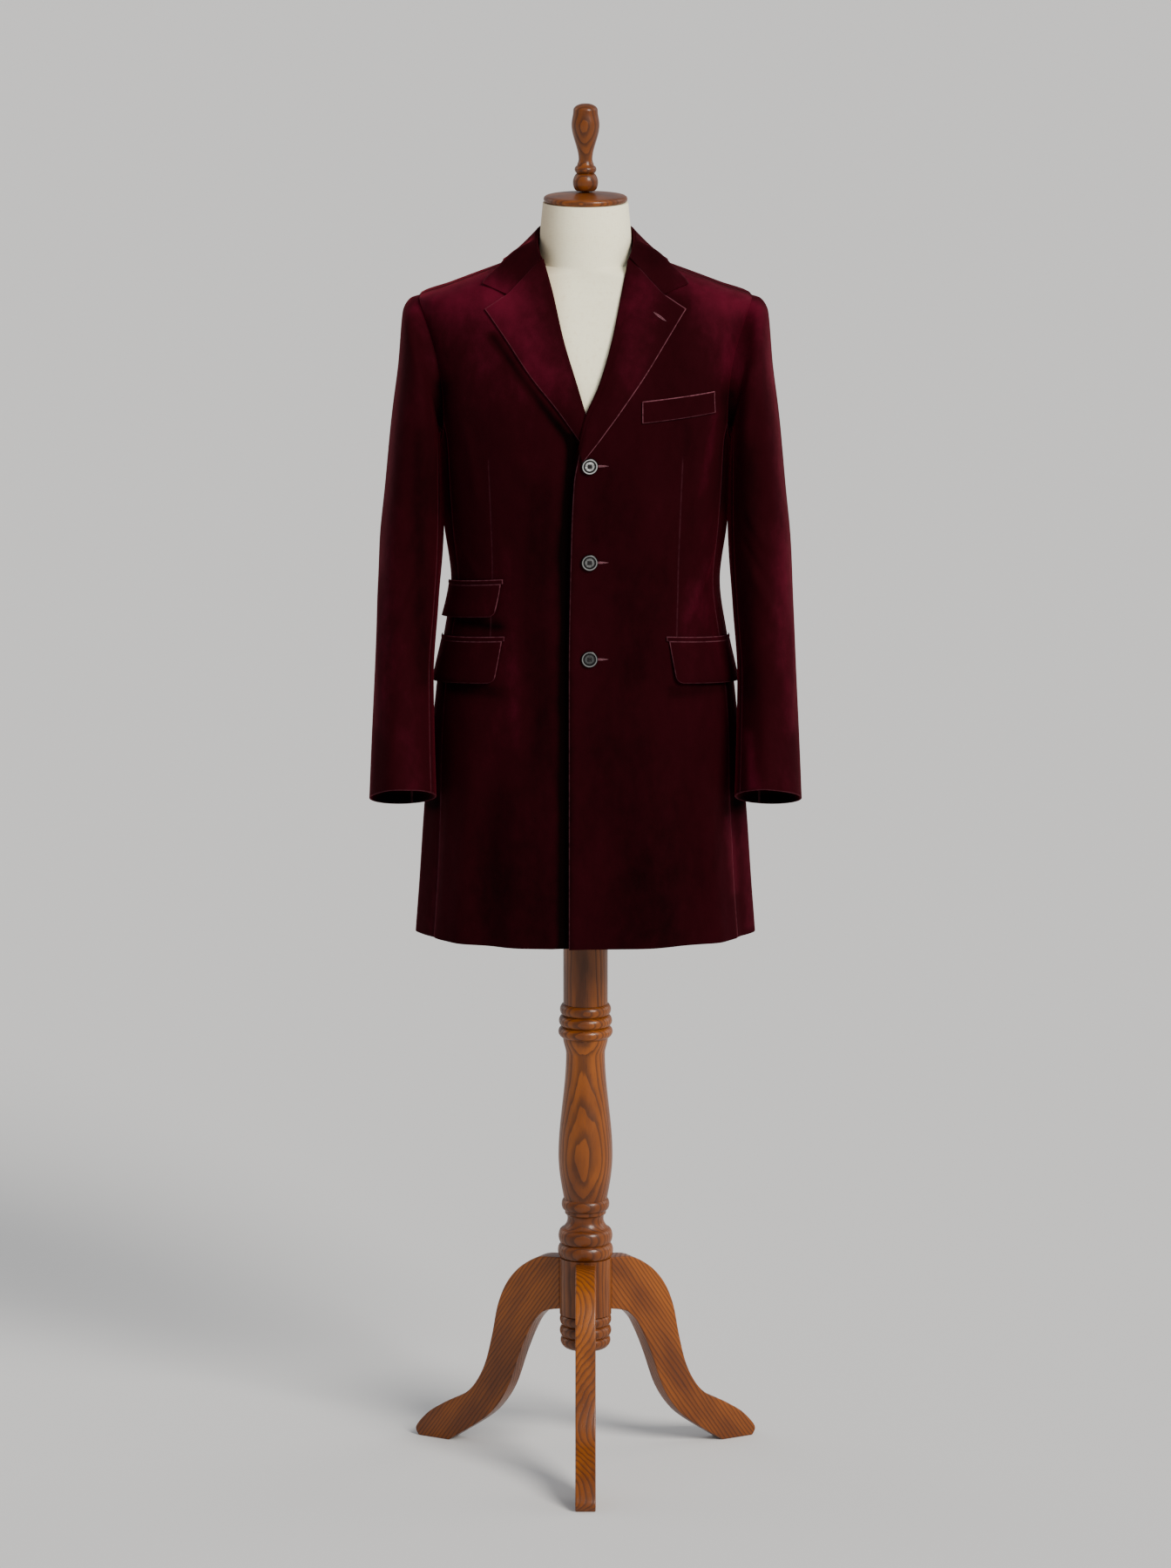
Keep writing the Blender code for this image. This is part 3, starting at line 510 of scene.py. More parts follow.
def arm_angle(turn):
    """The armhole's angle on the body. Turn 0 is the shoulder point, and a quarter turn is its front."""
    return np.where(np.sin(turn) > 0, ARM_FRONT_ANGLE, ARM_BACK_ANGLE) * np.sin(turn)


def seam_angle(height, hem_angle, turn):
    return blend(hem_angle, arm_angle(turn), eased((height - HEM) / (SEAM_TOP - HEM)))


def moved_along(angle, height, distance):
    """The angle after a walk of this length round the ring."""
    step = 0.01
    walked = np.linalg.norm(ring_points(angle + step, height) - ring_points(angle, height), axis=-1)
    return angle + distance * step / walked


def panel_height(row):
    """Heights up a panel: the skirt, then the armhole, then the shoulder."""
    skirt = blend(HEM, SEAM_TOP, row / SKIRT_STEPS)
    arm = ARM_MIDDLE + ARM_HALF * np.cos(SEAM_TURN - (row - SKIRT_STEPS) * ARM_STEP)
    shoulder = blend(SHOULDER, NECK_EDGE, (row - SKIRT_STEPS - SEAM_STEPS) / SHOULDER_STEPS)
    return np.select([row <= SKIRT_STEPS, row <= SKIRT_STEPS + SEAM_STEPS], [skirt, arm], shoulder)


def panel_side_angle(row, hem_angle, way):
    """The angle of a panel's outer edge: side seam, then armhole, then shoulder seam."""
    height = panel_height(row)
    skirt = seam_angle(height, hem_angle, way * SEAM_TURN)
    arm = arm_angle(way * (SEAM_TURN - (row - SKIRT_STEPS) * ARM_STEP))
    angle = np.select([row <= SKIRT_STEPS, row <= SKIRT_STEPS + SEAM_STEPS], [skirt, arm], 0.0)
    return moved_along(angle, height, way * SEAM_GAP / 2)


print("armhole", SHOULDER, "to", UNDERARM, "side seams end at", round(SEAM_TOP, 4))

# %% The lap of the fronts
Edge = namedtuple("Edge", "height over under")
FRONT_EDGE = [
    Edge(0.728, -0.0216, -0.0200),
    Edge(1.087, -0.0215, -0.0200),
    Edge(1.258, -0.0186, -0.0200),
    Edge(1.346, -0.0148, -0.0180),
    Edge(1.376, -0.0095, -0.0125),
    Edge(1.427, 0.0010, 0.0015),
    Edge(1.469, 0.0195, 0.0130),
    Edge(1.526, 0.0372, 0.0312),
    Edge(1.588, 0.0505, 0.0465),
    Edge(1.620, 0.0570, 0.0555),
    Edge(1.632, 0.0710, 0.0705),
]
UNDERLAP_SINK = 0.0046
UNDERLAP_START = 0.048
UNDERLAP_FULL = 0.024
EDGE_LIFT = 0.0034
EDGE_LIFT_REACH = 0.030
LAP_TOP = 1.460
LAP_FADE = 0.050


def lap(x, height, side):
    """The left front's edge stands proud, and the right front sinks under it."""
    fade = eased((LAP_TOP - height) / LAP_FADE)
    if side > 0:
        reach = x - along(FRONT_EDGE, "over", height)
        return EDGE_LIFT * fade * eased(1 - reach / EDGE_LIFT_REACH)
    sink = eased((UNDERLAP_START - x) / (UNDERLAP_START - UNDERLAP_FULL))
    return -UNDERLAP_SINK * fade * sink


def front_points(x, height, out, side):
    """Points of a front, or of what lies on it, by their distance from the middle and their height."""
    return body_points(angle_at(x, height), height, out + lap(x, height, side), side)


print("the fronts lap up to", LAP_TOP)

# %% [markdown]
# ## Darts
# A dart is a fold taken in and sewn along a line, so the cloth follows the waist.
# It shows as a fine line with no edge, so it is kept as a distance on the cloth, which its finish then draws.
# The distance has a sign, left or right of the line, so it stays true between the points of a coarse grid.

# %% Dart lines
Dart = namedtuple("Dart", "height right left")
DARTS = [
    Dart(1.138, 0.1227, 0.1178),
    Dart(1.227, 0.1198, 0.1196),
    Dart(1.300, 0.1220, 0.1222),
    Dart(1.3655, 0.1245, 0.1248),
]


def dart_on(hand):
    """A function that gives how far points lie from one front's dart, and how far past its ends."""

    def distances(points):
        aside = np.abs(points[:, 0]) - along(DARTS, hand, points[:, 2])
        past = np.maximum(points[:, 2] - DARTS[-1].height, DARTS[0].height - points[:, 2])
        return np.clip(aside, -FAR, FAR), np.clip(past, 0.0, FAR)

    return distances


print("darts run from", DARTS[0].height, "to", DARTS[-1].height)

# %% The six body panels
FRONT_COLUMNS = 84
BACK_COLUMNS = 64
SIDE_COLUMNS = 40
PANEL_ROWS = PANEL_STEPS * 6
SIDE_ROWS = 120
# Strength of the painted highlight line along the front's edge.
FRONT_EDGE_HIGHLIGHT = 0.16


def add_front(hand, side):
    lap_edge = "over" if side > 0 else "under"

    def place(across, share, out):
        row = share * PANEL_STEPS
        height = panel_height(row)
        edge = angle_at(along(FRONT_EDGE, lap_edge, height), height)
        angle = blend(edge, panel_side_angle(row, FRONT_SEAM_ANGLE, 1), across)
        x = ring_points(angle, height)[:, 0]
        return body_points(angle, height, out + lap(x, height, side) - WALL, side)

    painted_edge_highlights = {"start": FRONT_EDGE_HIGHLIGHT}
    sewn = ("end", "last")
    add_cloth(f"front_{hand}", place, FRONT_COLUMNS, PANEL_ROWS, painted_edge_highlights, sewn, side < 0, dart=dart_on(hand))


def add_back(hand, side):
    def place(across, share, out):
        row = share * PANEL_STEPS
        height = panel_height(row)
        middle = moved_along(np.full_like(height, -np.pi / 2), height, SEAM_GAP / 2)
        angle = blend(panel_side_angle(row, BACK_SEAM_ANGLE, -1), middle, across)
        return body_points(angle, height, out - WALL, side)

    add_cloth(f"back_{hand}", place, BACK_COLUMNS, PANEL_ROWS, {}, ("start", "end", "last"), side < 0)


def add_side(hand, side):
    def place(across, share, out):
        turn = blend(SEAM_TURN, 2 * np.pi - SEAM_TURN, across)
        height = blend(HEM, ARM_MIDDLE + ARM_HALF * np.cos(turn), share)
        level = blend(HEM, SEAM_TOP, share)
        front = moved_along(seam_angle(level, FRONT_SEAM_ANGLE, SEAM_TURN), level, -SEAM_GAP / 2)
        back = moved_along(seam_angle(level, BACK_SEAM_ANGLE, -SEAM_TURN), level, SEAM_GAP / 2)
        first, last = arm_angle(SEAM_TURN), arm_angle(-SEAM_TURN)
        angle = blend(front, back, (arm_angle(turn) - first) / (last - first))
        return body_points(angle, height, out - WALL, side)

    add_cloth(f"side_{hand}", place, SIDE_COLUMNS, SIDE_ROWS, {}, ("start", "end", "last"), side < 0)


HANDS = {"left": 1, "right": -1}
for hand, side in HANDS.items():
    add_front(hand, side)
    add_side(hand, side)
    add_back(hand, side)
for node in VELVET:
    print_cut(node)

# %% [markdown]
# ## Sleeves
# A tailored sleeve is cut in two pieces: a wide top sleeve and a narrow under sleeve, joined by two seams.
# It hangs slightly forward from the armhole and narrows to the cuff.
# The rings run from the armhole's own curve down to the cuff, and a few creases gather at the elbow.

# %% Rings of the sleeve
Sleeve = namedtuple("Sleeve", "row outer_x outer_height inner_x inner_height front back tilt")
SLEEVE = [
    Sleeve(2, 0.2250, 1.5690, 0.1880, 1.3900, -0.068, 0.072, 0.000),
    Sleeve(3, 0.2360, 1.5550, 0.1905, 1.3860, -0.080, 0.082, 0.000),
    Sleeve(4, 0.2435, 1.4790, 0.1897, 1.3710, -0.084, 0.084, 0.000),
    Sleeve(5, 0.2523, 1.4090, 0.1880, 1.3450, -0.084, 0.079, 0.000),
    Sleeve(6, 0.2610, 1.3200, 0.1870, 1.2950, -0.081, 0.071, 0.000),
    Sleeve(7, 0.2680, 1.2500, 0.1880, 1.2350, -0.086, 0.056, 0.000),
    Sleeve(8, 0.2717, 1.1740, 0.1925, 1.1650, -0.096, 0.038, 0.003),
    Sleeve(9, 0.2758, 1.0830, 0.1985, 1.0750, -0.110, 0.016, 0.008),
    Sleeve(10, 0.2800, 0.9930, 0.1970, 0.9850, -0.125, -0.007, 0.014),
    Sleeve(11, 0.2830, 0.9190, 0.1950, 0.9220, -0.138, -0.024, 0.020),
]
ARM_SEAM_SCALE = 0.994
ARM_STRIP_SCALE = 0.991
SLEEVE_FRONT_SEAM = math.radians(150)
SLEEVE_BACK_SEAM = math.radians(-105)
SLEEVE_RADIUS = 0.055
print("sleeve rings", len(SLEEVE))

# %% Creases of the sleeves
CREASES = {
    "left": [
        Fold(52, 2.6, 40, 9.5, 0.020, 0.0034),
        Fold(92, 2.8, 84, 8.2, 0.018, -0.0030),
        Fold(118, 5.9, 70, 7.1, 0.009, 0.0034),
        Fold(128, 6.5, 84, 7.6, 0.008, -0.0026),
        Fold(112, 7.2, 66, 8.3, 0.010, 0.0030),
        Fold(20, 8.0, 58, 10.2, 0.014, 0.0024),
        Fold(96, 8.6, 102, 12.5, 0.014, 0.0030),
        Fold(62, 9.0, 70, 12.8, 0.018, -0.0022),
        Fold(-20, 3.0, -34, 9.0, 0.022, 0.0030),
        Fold(-70, 5.2, -110, 7.0, 0.012, 0.0036),
        Fold(-60, 6.4, -106, 7.9, 0.011, -0.0030),
        Fold(190, 3.2, 205, 8.0, 0.018, 0.0026),
    ],
    "right": [
        Fold(46, 2.6, 56, 9.0, 0.019, 0.0032),
        Fold(86, 3.0, 94, 9.4, 0.018, -0.0032),
        Fold(124, 6.1, 72, 7.4, 0.010, 0.0034),
        Fold(116, 7.0, 78, 7.9, 0.008, -0.0024),
        Fold(106, 7.6, 60, 8.8, 0.010, 0.0028),
        Fold(14, 7.2, 44, 9.8, 0.015, 0.0026),
        Fold(74, 9.2, 66, 12.6, 0.016, 0.0028),
        Fold(104, 9.4, 98, 12.8, 0.014, -0.0022),
        Fold(-26, 3.0, -18, 8.4, 0.022, 0.0030),
        Fold(-74, 5.6, -112, 7.2, 0.012, 0.0036),
        Fold(-64, 6.8, -104, 8.2, 0.011, -0.0030),
        Fold(196, 3.4, 188, 7.8, 0.018, 0.0026),
    ],
}
print("creases", sum(len(creases) for creases in CREASES.values()))

# %% Top and under sleeves
TOP_SLEEVE_COLUMNS = 84
UNDER_SLEEVE_COLUMNS = 44
SLEEVE_ROWS = 150
CREASE_START = 1.0
CREASE_FULL = 2.5
# Strength of the painted highlight line along the cuffs.
CUFF_HIGHLIGHT = 0.10


def armhole_points(turn, scale, side):
    height = ARM_MIDDLE + ARM_HALF * np.cos(turn) * scale
    return body_points(arm_angle(turn) * scale, height, np.full_like(turn, -WALL), side)


def sleeve_rings(turn, side):
    """The stack of rings at these turns: two on the armhole, then the table's."""
    rings = [armhole_points(turn, scale, side) for scale in (ARM_SEAM_SCALE, ARM_STRIP_SCALE)]
    for ring in SLEEVE:
        outer = np.array([ring.outer_x, ring.outer_height])
        inner = np.array([ring.inner_x, ring.inner_height])
        half = (outer - inner) / 2
        half = half * (1 - WALL / np.linalg.norm(half))
        placed = (outer + inner) / 2 + np.cos(turn)[:, None] * half
        forward = np.sin(turn)
        deep = (ring.back - ring.front) / 2 - WALL
        y = POST_Y + (ring.front + ring.back) / 2 - deep * forward
        rings.append(np.stack([side * placed[:, 0], y, placed[:, 1] + ring.tilt * forward], axis=-1))
    return np.array(rings)


def add_sleeve(kind, hand, side, first, last, columns):
    trim = SEAM_GAP / 2 / SLEEVE_RADIUS

    def place(across, share, out):
        turn = blend(first + trim, last - trim, across)
        row = share * SLEEVE[-1].row
        points = through(sleeve_rings(turn, side), row)
        opposite = through(sleeve_rings(turn + np.pi, side), row)
        outward = points - opposite
        outward /= np.linalg.norm(outward, axis=1, keepdims=True)
        soft = eased((row - CREASE_START) / (CREASE_FULL - CREASE_START))
        drape = soft * folded(CREASES[hand], turn, row, SLEEVE_RADIUS)
        return points + outward * (out + drape)[:, None]

    painted_edge_highlights = {"last": CUFF_HIGHLIGHT}
    add_cloth(f"{kind}_{hand}", place, columns, SLEEVE_ROWS, painted_edge_highlights, ("start", "end"), side < 0)
    print_cut(f"{kind}_{hand}")


for hand, side in HANDS.items():
    seams = (SLEEVE_BACK_SEAM, SLEEVE_FRONT_SEAM, SLEEVE_BACK_SEAM + 2 * math.pi)
    add_sleeve("top_sleeve", hand, side, *seams[:2], TOP_SLEEVE_COLUMNS)
    add_sleeve("under_sleeve", hand, side, *seams[1:], UNDER_SLEEVE_COLUMNS)

# %% [markdown]
# ## Lapels
# A lapel is the top of the front turned back on itself, so its inner edge is a soft roll and not a cut.
# The sheet starts behind the front's edge, rolls round it and then lies on the chest.
# The notch comes from one corner of the net pulled to its place.

# %% The two lapels
Lapel = namedtuple("Lapel", "row turn_x turn_height edge_x edge_height")
LAPEL_LEFT = [
    Lapel(0, 0.0580, 1.6235, 0.1300, 1.5630),
    Lapel(1, 0.0505, 1.5880, 0.1050, 1.5250),
    Lapel(2, 0.0372, 1.5260, 0.0775, 1.4830),
    Lapel(3, 0.0195, 1.4690, 0.0460, 1.4390),
    Lapel(4, 0.0010, 1.4270, 0.0130, 1.3950),
    Lapel(5, -0.0070, 1.3880, -0.0045, 1.3740),
]
LAPEL_RIGHT = [
    Lapel(0, 0.0572, 1.6235, 0.1300, 1.5630),
    Lapel(1, 0.0465, 1.5880, 0.1015, 1.5250),
    Lapel(2, 0.0312, 1.5260, 0.0715, 1.4830),
    Lapel(3, 0.0130, 1.4690, 0.0350, 1.4390),
    Lapel(4, 0.0005, 1.4290, 0.0070, 1.4000),
]
NOTCH_X = 0.1010
NOTCH_HEIGHT = 1.5800
NOTCH_SHARE = 0.6
NOTCH_DEPTH_SHARE = 0.25
LAY = 0.0012
LAPEL_SWELL = 0.0030
SWELL_START = 1 / 6
ROLL_SHARE = 0.14
ROLL_RADIUS = 0.0017
LAPEL_COLUMNS = 50
LAPEL_ROWS = 96
# Strengths of the painted highlight lines along the lapels' edges and gorge.
LAPEL_HIGHLIGHT = {"left": 0.46, "right": 0.16}
SEWN_HIGHLIGHT = 0.15
FREE_HIGHLIGHT = 0.75
NOTCH_FADE = 0.05


def gorge_highlight(across):
    """The gorge's painted highlight line is faint as far as the notch, where it is sewn down, and full beyond
    it.
    """
    notch = blend(ROLL_SHARE, 1.0, NOTCH_SHARE)
    return blend(SEWN_HIGHLIGHT, FREE_HIGHLIGHT, eased((across - notch) / NOTCH_FADE))


def add_lapel(hand, side, rows):
    wear = LAPEL_HIGHLIGHT[hand]

    def place(across, share, out):
        row = share * rows[-1].row
        leaf = np.clip((across - ROLL_SHARE) / (1 - ROLL_SHARE), 0.0, 1.0)
        turn = np.stack([along(rows, "turn_x", row), along(rows, "turn_height", row)], axis=-1)
        edge = np.stack([along(rows, "edge_x", row), along(rows, "edge_height", row)], axis=-1)
        spot = blend(turn, edge, leaf[:, None])
        notch = np.array([NOTCH_X, NOTCH_HEIGHT]) - blend(turn, edge, NOTCH_SHARE)
        bow = np.minimum(leaf / NOTCH_SHARE, (1 - leaf) / (1 - NOTCH_SHARE))
        bow = bow * np.maximum(1 - share / NOTCH_DEPTH_SHARE, 0.0)
        spot = spot + notch * bow[:, None]
        rolled = np.clip(across / ROLL_SHARE, 0.0, 1.0)
        swing = np.pi * (rolled - 0.5)
        over = LAY - ROLL_RADIUS + ROLL_RADIUS * np.sin(swing)
        swell = LAPEL_SWELL * np.sin(np.pi * leaf) * np.clip(leaf / SWELL_START, 0, 1)
        inward = (turn - edge) / np.linalg.norm(turn - edge, axis=1, keepdims=True)
        spot = spot + inward * (ROLL_RADIUS * np.cos(swing) * (rolled < 1))[:, None]
        return front_points(spot[:, 0], spot[:, 1], out + over + swell, side)

    painted_edge_highlights = {"end": wear, "first": lambda across: wear * gorge_highlight(across)}
    add_cloth(f"lapel_{hand}", place, LAPEL_COLUMNS, LAPEL_ROWS, painted_edge_highlights, (), side > 0)
    print_cut(f"lapel_{hand}")


for hand, rows in (("left", LAPEL_LEFT), ("right", LAPEL_RIGHT)):
    add_lapel(hand, HANDS[hand], rows)

# %% [markdown]
# ## Collar
# The collar stands up round the neck, folds over and falls to the shoulders.
# Its ends meet the lapels at their notches.
# It is one sheet from the leaf's outer edge over the fold to the foot of the stand inside.

# %% The collar's leaf, fold and stand
Collar = namedtuple("Collar", "angle edge_height fold_radius fold_height stand_height roll")
COLLAR = [
    Collar(-90, 1.6050, 0.0705, 1.6640, 1.6330, 0.0050),
    Collar(-60, 1.6090, 0.0685, 1.6620, 1.6330, 0.0030),
    Collar(-30, 1.6125, 0.0660, 1.6570, 1.6330, -0.0010),
    Collar(0, 1.6130, 0.0652, 1.6500, 1.6330, -0.0045),
    Collar(22, 1.6070, 0.0695, 1.6420, 1.6330, 0.0070),
    Collar(43, 1.5915, 0.0795, 1.6260, 1.6235, 0.0070),
]
COLLAR_WALL = 0.0016
COLLAR_NOTCH_ANGLE = 25
COLLAR_FOLD_RADIUS = 0.0007
COLLAR_GORGE_GAP = 0.0006
COLLAR_LAY = 0.0027
COLLAR_COLUMNS = 48
COLLAR_ROWS = 150
LEAF_SHARE = 0.56
FOLD_SHARE = 0.14


def collar_points(across, share, out):
    station = blend(1.0, -1.0, share)
    angle = blend(COLLAR[0].angle, COLLAR[-1].angle, np.abs(station))
    turn = np.radians(angle)
    edge = body_points(turn, along(COLLAR, "edge_height", angle), np.full_like(turn, COLLAR_LAY), 1)
    radius = along(COLLAR, "fold_radius", angle)
    outward = np.stack([np.cos(turn), -np.sin(turn), np.zeros_like(turn)], axis=-1)
    axis = np.array([0.0, POST_Y, 0.0])
    upward = np.array([0.0, 0.0, 1.0])
    fold = axis + outward * radius[:, None] + upward * along(COLLAR, "fold_height", angle)[:, None]
    inner = fold - outward * 2 * COLLAR_FOLD_RADIUS
    foot = inner * np.array([1.0, 1.0, 0.0]) + upward * along(COLLAR, "stand_height", angle)[:, None]
    near_end = eased((angle - COLLAR_NOTCH_ANGLE) / (COLLAR[-1].angle - COLLAR_NOTCH_ANGLE))[:, None]
    notch_spot = np.full_like(turn, NOTCH_X), np.full_like(turn, NOTCH_HEIGHT + COLLAR_GORGE_GAP)
    notch = body_points(angle_at(*notch_spot), notch_spot[1], np.full_like(turn, COLLAR_LAY), 1)
    middle = (edge + fold) / 2
    rolled = middle + upward * along(COLLAR, "roll", angle)[:, None] + outward * COLLAR_FOLD_RADIUS
    bulged = blend(rolled, notch, near_end)
    leaf = np.clip(across / LEAF_SHARE, 0.0, 1.0)[:, None]
    bow = blend(np.sin(np.pi * leaf), 1 - np.abs(leaf - 0.5) / 0.5, near_end)
    on_leaf = blend(edge, fold, leaf) + (bulged - middle) * bow
    swing = np.pi * np.clip((across - LEAF_SHARE) / FOLD_SHARE, 0.0, 1.0)[:, None]
    centre = (fold + inner) / 2
    on_fold = centre + COLLAR_FOLD_RADIUS * (outward * np.cos(swing) + upward * np.sin(swing))
    stand_start = LEAF_SHARE + FOLD_SHARE
    down = np.clip((across - stand_start) / (1 - stand_start), 0.0, 1.0)[:, None]
    on_stand = blend(inner, foot, down)
    placed = np.where((across <= LEAF_SHARE)[:, None], on_leaf, on_fold)
    placed = np.where((across >= stand_start)[:, None], on_stand, placed)
    placed[:, 0] *= np.where(station < 0, -1.0, 1.0)
    return placed


# Strength of the painted highlight line along the collar's edge.
COLLAR_HIGHLIGHT = {"start": 0.10}
add_cloth("collar", collar_points, COLLAR_COLUMNS, COLLAR_ROWS, COLLAR_HIGHLIGHT, (), True, COLLAR_WALL)
print_cut("collar")

# %% [markdown]
# ## Pockets
# Each hip pocket is a slit bound by a narrow jet, with a flap hanging from it.
# A small ticket flap sits above one of them, and the breast pocket has a slanted welt instead.
# They lie on the front and side panels, so they are laid on the same body a little further out.

# %% Flaps and jets
Pocket = namedtuple("Pocket", "name hand front_x back_angle top bottom lay")
POCKETS = [
    Pocket("hip_flap_left", "left", 0.1080, -3, 1.1330, 1.0780, 0.0009),
    Pocket("hip_flap_right", "right", 0.1080, -3, 1.1330, 1.0780, 0.0009),
    Pocket("ticket_flap", "right", 0.1090, 4, 1.2080, 1.1650, 0.0019),
]
TRIM_WALL = 0.0014
JET_HEIGHT = 0.0055
JET_REACH = 0.003
FLAP_LIFT = 0.0042
FLAP_CORNER = 0.009
FLAP_SLANT = 0.003
POCKET_DROP = 0.016
FLAP_COLUMNS = 70
FLAP_ROWS = 36
JET_ROWS = 8
JET_SWELL = 0.0008
# Strengths of the painted highlight lines along the flaps' and jets' edges, faint at the bottom.
FLAP_HIGHLIGHT = {"start": 0.30, "end": 0.10, "first": 0.26, "last": 0.08}
JET_HIGHLIGHT = {"start": 0.25, "end": 0.10, "first": 0.36, "last": 0.12}


def pocket_drop(pocket, angle):
    """How far a pocket's line has run down at these angles, from its front end to its back end."""
    front = angle_at(np.full_like(angle, pocket.front_x), np.full_like(angle, pocket.top))
    return POCKET_DROP * (front - angle) / (front - math.radians(pocket.back_angle))


def add_flap(pocket):
    side = HANDS[pocket.hand]
    back = math.radians(pocket.back_angle)
    top = np.array([pocket.top])
    ends = ring_points(angle_at(np.array([pocket.front_x]), top), top) - ring_points(np.array([back]), top)
    length = float(np.linalg.norm(ends))

    def place(across, share, out):
        level = np.full_like(across, pocket.top)
        front = angle_at(pocket.front_x + FLAP_SLANT * share, level)
        corner = np.maximum(FLAP_CORNER - across * length, 0.0)
        lift = FLAP_CORNER - np.sqrt(np.maximum(FLAP_CORNER**2 - corner**2, 0.0))
        angle = blend(front, back, across)
        height = blend(pocket.top, pocket.bottom + lift, share) - pocket_drop(pocket, angle)
        return body_points(angle, height, out + pocket.lay + SEAM_GAP + FLAP_LIFT * share, side)

    add_cloth(pocket.name, place, FLAP_COLUMNS, FLAP_ROWS, FLAP_HIGHLIGHT, (), side > 0, TRIM_WALL)


def add_jet(pocket):
    side = HANDS[pocket.hand]

    def place(across, share, out):
        front = angle_at(np.full_like(across, pocket.front_x - JET_REACH), np.full_like(across, pocket.top))
        angle = blend(front, math.radians(pocket.back_angle), across)
        height = pocket.top + SEAM_GAP + JET_HEIGHT * (1 - share) - pocket_drop(pocket, angle)
        swell = JET_SWELL * np.sin(np.pi * share)
        return body_points(angle, height, out + pocket.lay + swell, side)

    node = pocket.name.replace("flap", "jet")
    add_cloth(node, place, FLAP_COLUMNS, JET_ROWS, JET_HIGHLIGHT, (), side > 0, TRIM_WALL)


for pocket in POCKETS:
    add_flap(pocket)
    add_jet(pocket)
    print_cut(pocket.name)

# %% The breast welt
WELT_INNER_X = 0.0730
WELT_OUTER_X = 0.1660
WELT_MIDDLE = 1.4365
WELT_HEIGHT = 0.028
WELT_RISE = 0.008
WELT_COLUMNS = 60
WELT_ROWS = 22
# Strengths of the painted highlight lines along the welt's edges.
WELT_HIGHLIGHT = {"start": 0.60, "end": 0.75, "first": 0.65, "last": 0.22}


def welt_points(across, share, out):
    x = blend(WELT_INNER_X, WELT_OUTER_X, across)
    height = WELT_MIDDLE + WELT_RISE * across + WELT_HEIGHT * (0.5 - share)
    return front_points(x, height, out + LAY, 1)


add_cloth("breast_welt", welt_points, WELT_COLUMNS, WELT_ROWS, WELT_HIGHLIGHT, (), True, TRIM_WALL)
print_cut("breast_welt")

# %% [markdown]
# ## Dress form
# The torso inside the coat is a padded shell covered in linen, and only its neck and the chest in the V show.
# It follows the coat's rings a little further in, and then narrows to a round neck.
# The form has no folds of its own, so it is laid on the body without the drape.

# %% Torso and neck
FORM_BASE = 0.930
FORM_FIRST_STEP = 5
FORM_LAST_STEP = 25
Neck = namedtuple("Neck", "height radius")
NECK = [Neck(1.615, 0.0612), Neck(1.630, 0.0600), Neck(1.655, 0.0590), Neck(1.693, 0.0555)]
FORM_COLUMNS = 128
FORM_ROWS = 150
FORM_SMOOTH = math.radians(40)


def form_rings(angle):
    """The form's rings at these angles: the torso under the coat, and then the neck."""
    rings = []
    for step in range(FORM_FIRST_STEP, FORM_LAST_STEP + 1):
        height = np.full_like(angle, float(panel_height(np.array(float(step)))))
        inset = WALL + along(BODY, "air", height)
        ring = surface_points(angle, height, -inset)
        if step == FORM_FIRST_STEP:
            ring[:, 2] = FORM_BASE
        rings.append(ring)
    for ring in NECK:
        x, y = ring.radius * np.cos(angle), POST_Y - ring.radius * np.sin(angle)
        rings.append(np.stack([x, y, np.full_like(angle, ring.height)], axis=-1))
    return np.array(rings)


def face_outwards():
    """Turns all faces outwards and leaves edit mode."""
    bpy.ops.mesh.select_all(action="SELECT")
    bpy.ops.mesh.normals_make_consistent(inside=False)
    bpy.ops.object.mode_set(mode="OBJECT")


linen_form, form_across, form_share = add_grid("linen_form", FORM_COLUMNS, FORM_ROWS)
form_stack = form_rings(2 * np.pi * form_across)
form_points = through(form_stack, form_share * (len(form_stack) - 1))
linen_form.data.vertices.foreach_set("co", form_points.ravel())
edit_all()
bpy.ops.mesh.remove_doubles(threshold=1e-6)
bpy.ops.mesh.fill_holes(sides=0)
face_outwards()
bpy.ops.object.shade_smooth_by_angle(angle=FORM_SMOOTH)
print("linen form", len(linen_form.data.polygons), "faces")

# %% [markdown]
# ## Turned wood
# The post, the cap and the finial come off a lathe, so each is a profile spun round its axis.
# A turner thinks in beads, coves and fillets, so the tables name one on each row, from the top down.
# The profile is drawn by extruding a single point along it, and Spin turns it into a solid.

# %% Profiles of the turned pieces
Turn = namedtuple("Turn", "name bottom start end shape swell steps")
LEG_BLOCK_RADIUS = 0.0346
CAP_TOP = 1.7080
NECK_CAP = [
    Turn("dome", 1.7010, 0.0000, 0.0525, "ease", 0.0000, 4),
    Turn("rim", 1.6935, 0.0525, 0.0525, "bead", 0.0022, 3),
]
FINIAL_TOP = 1.8220
FINIAL = [
    Turn("crown", 1.8130, 0.0000, 0.0160, "round", 0.0000, 4),
    Turn("bulb", 1.7940, 0.0160, 0.0183, "ease", 0.0000, 3),
    Turn("stem", 1.7490, 0.0183, 0.0090, "ease", 0.0000, 5),
    Turn("flare", 1.7410, 0.0090, 0.0110, "ease", 0.0000, 2),
    Turn("ring", 1.7310, 0.0110, 0.0110, "bead", 0.0033, 3),
    Turn("ball", 1.7083, 0.0110, 0.0120, "bead", 0.0050, 5),
]
COLUMN_TOP = 0.6260
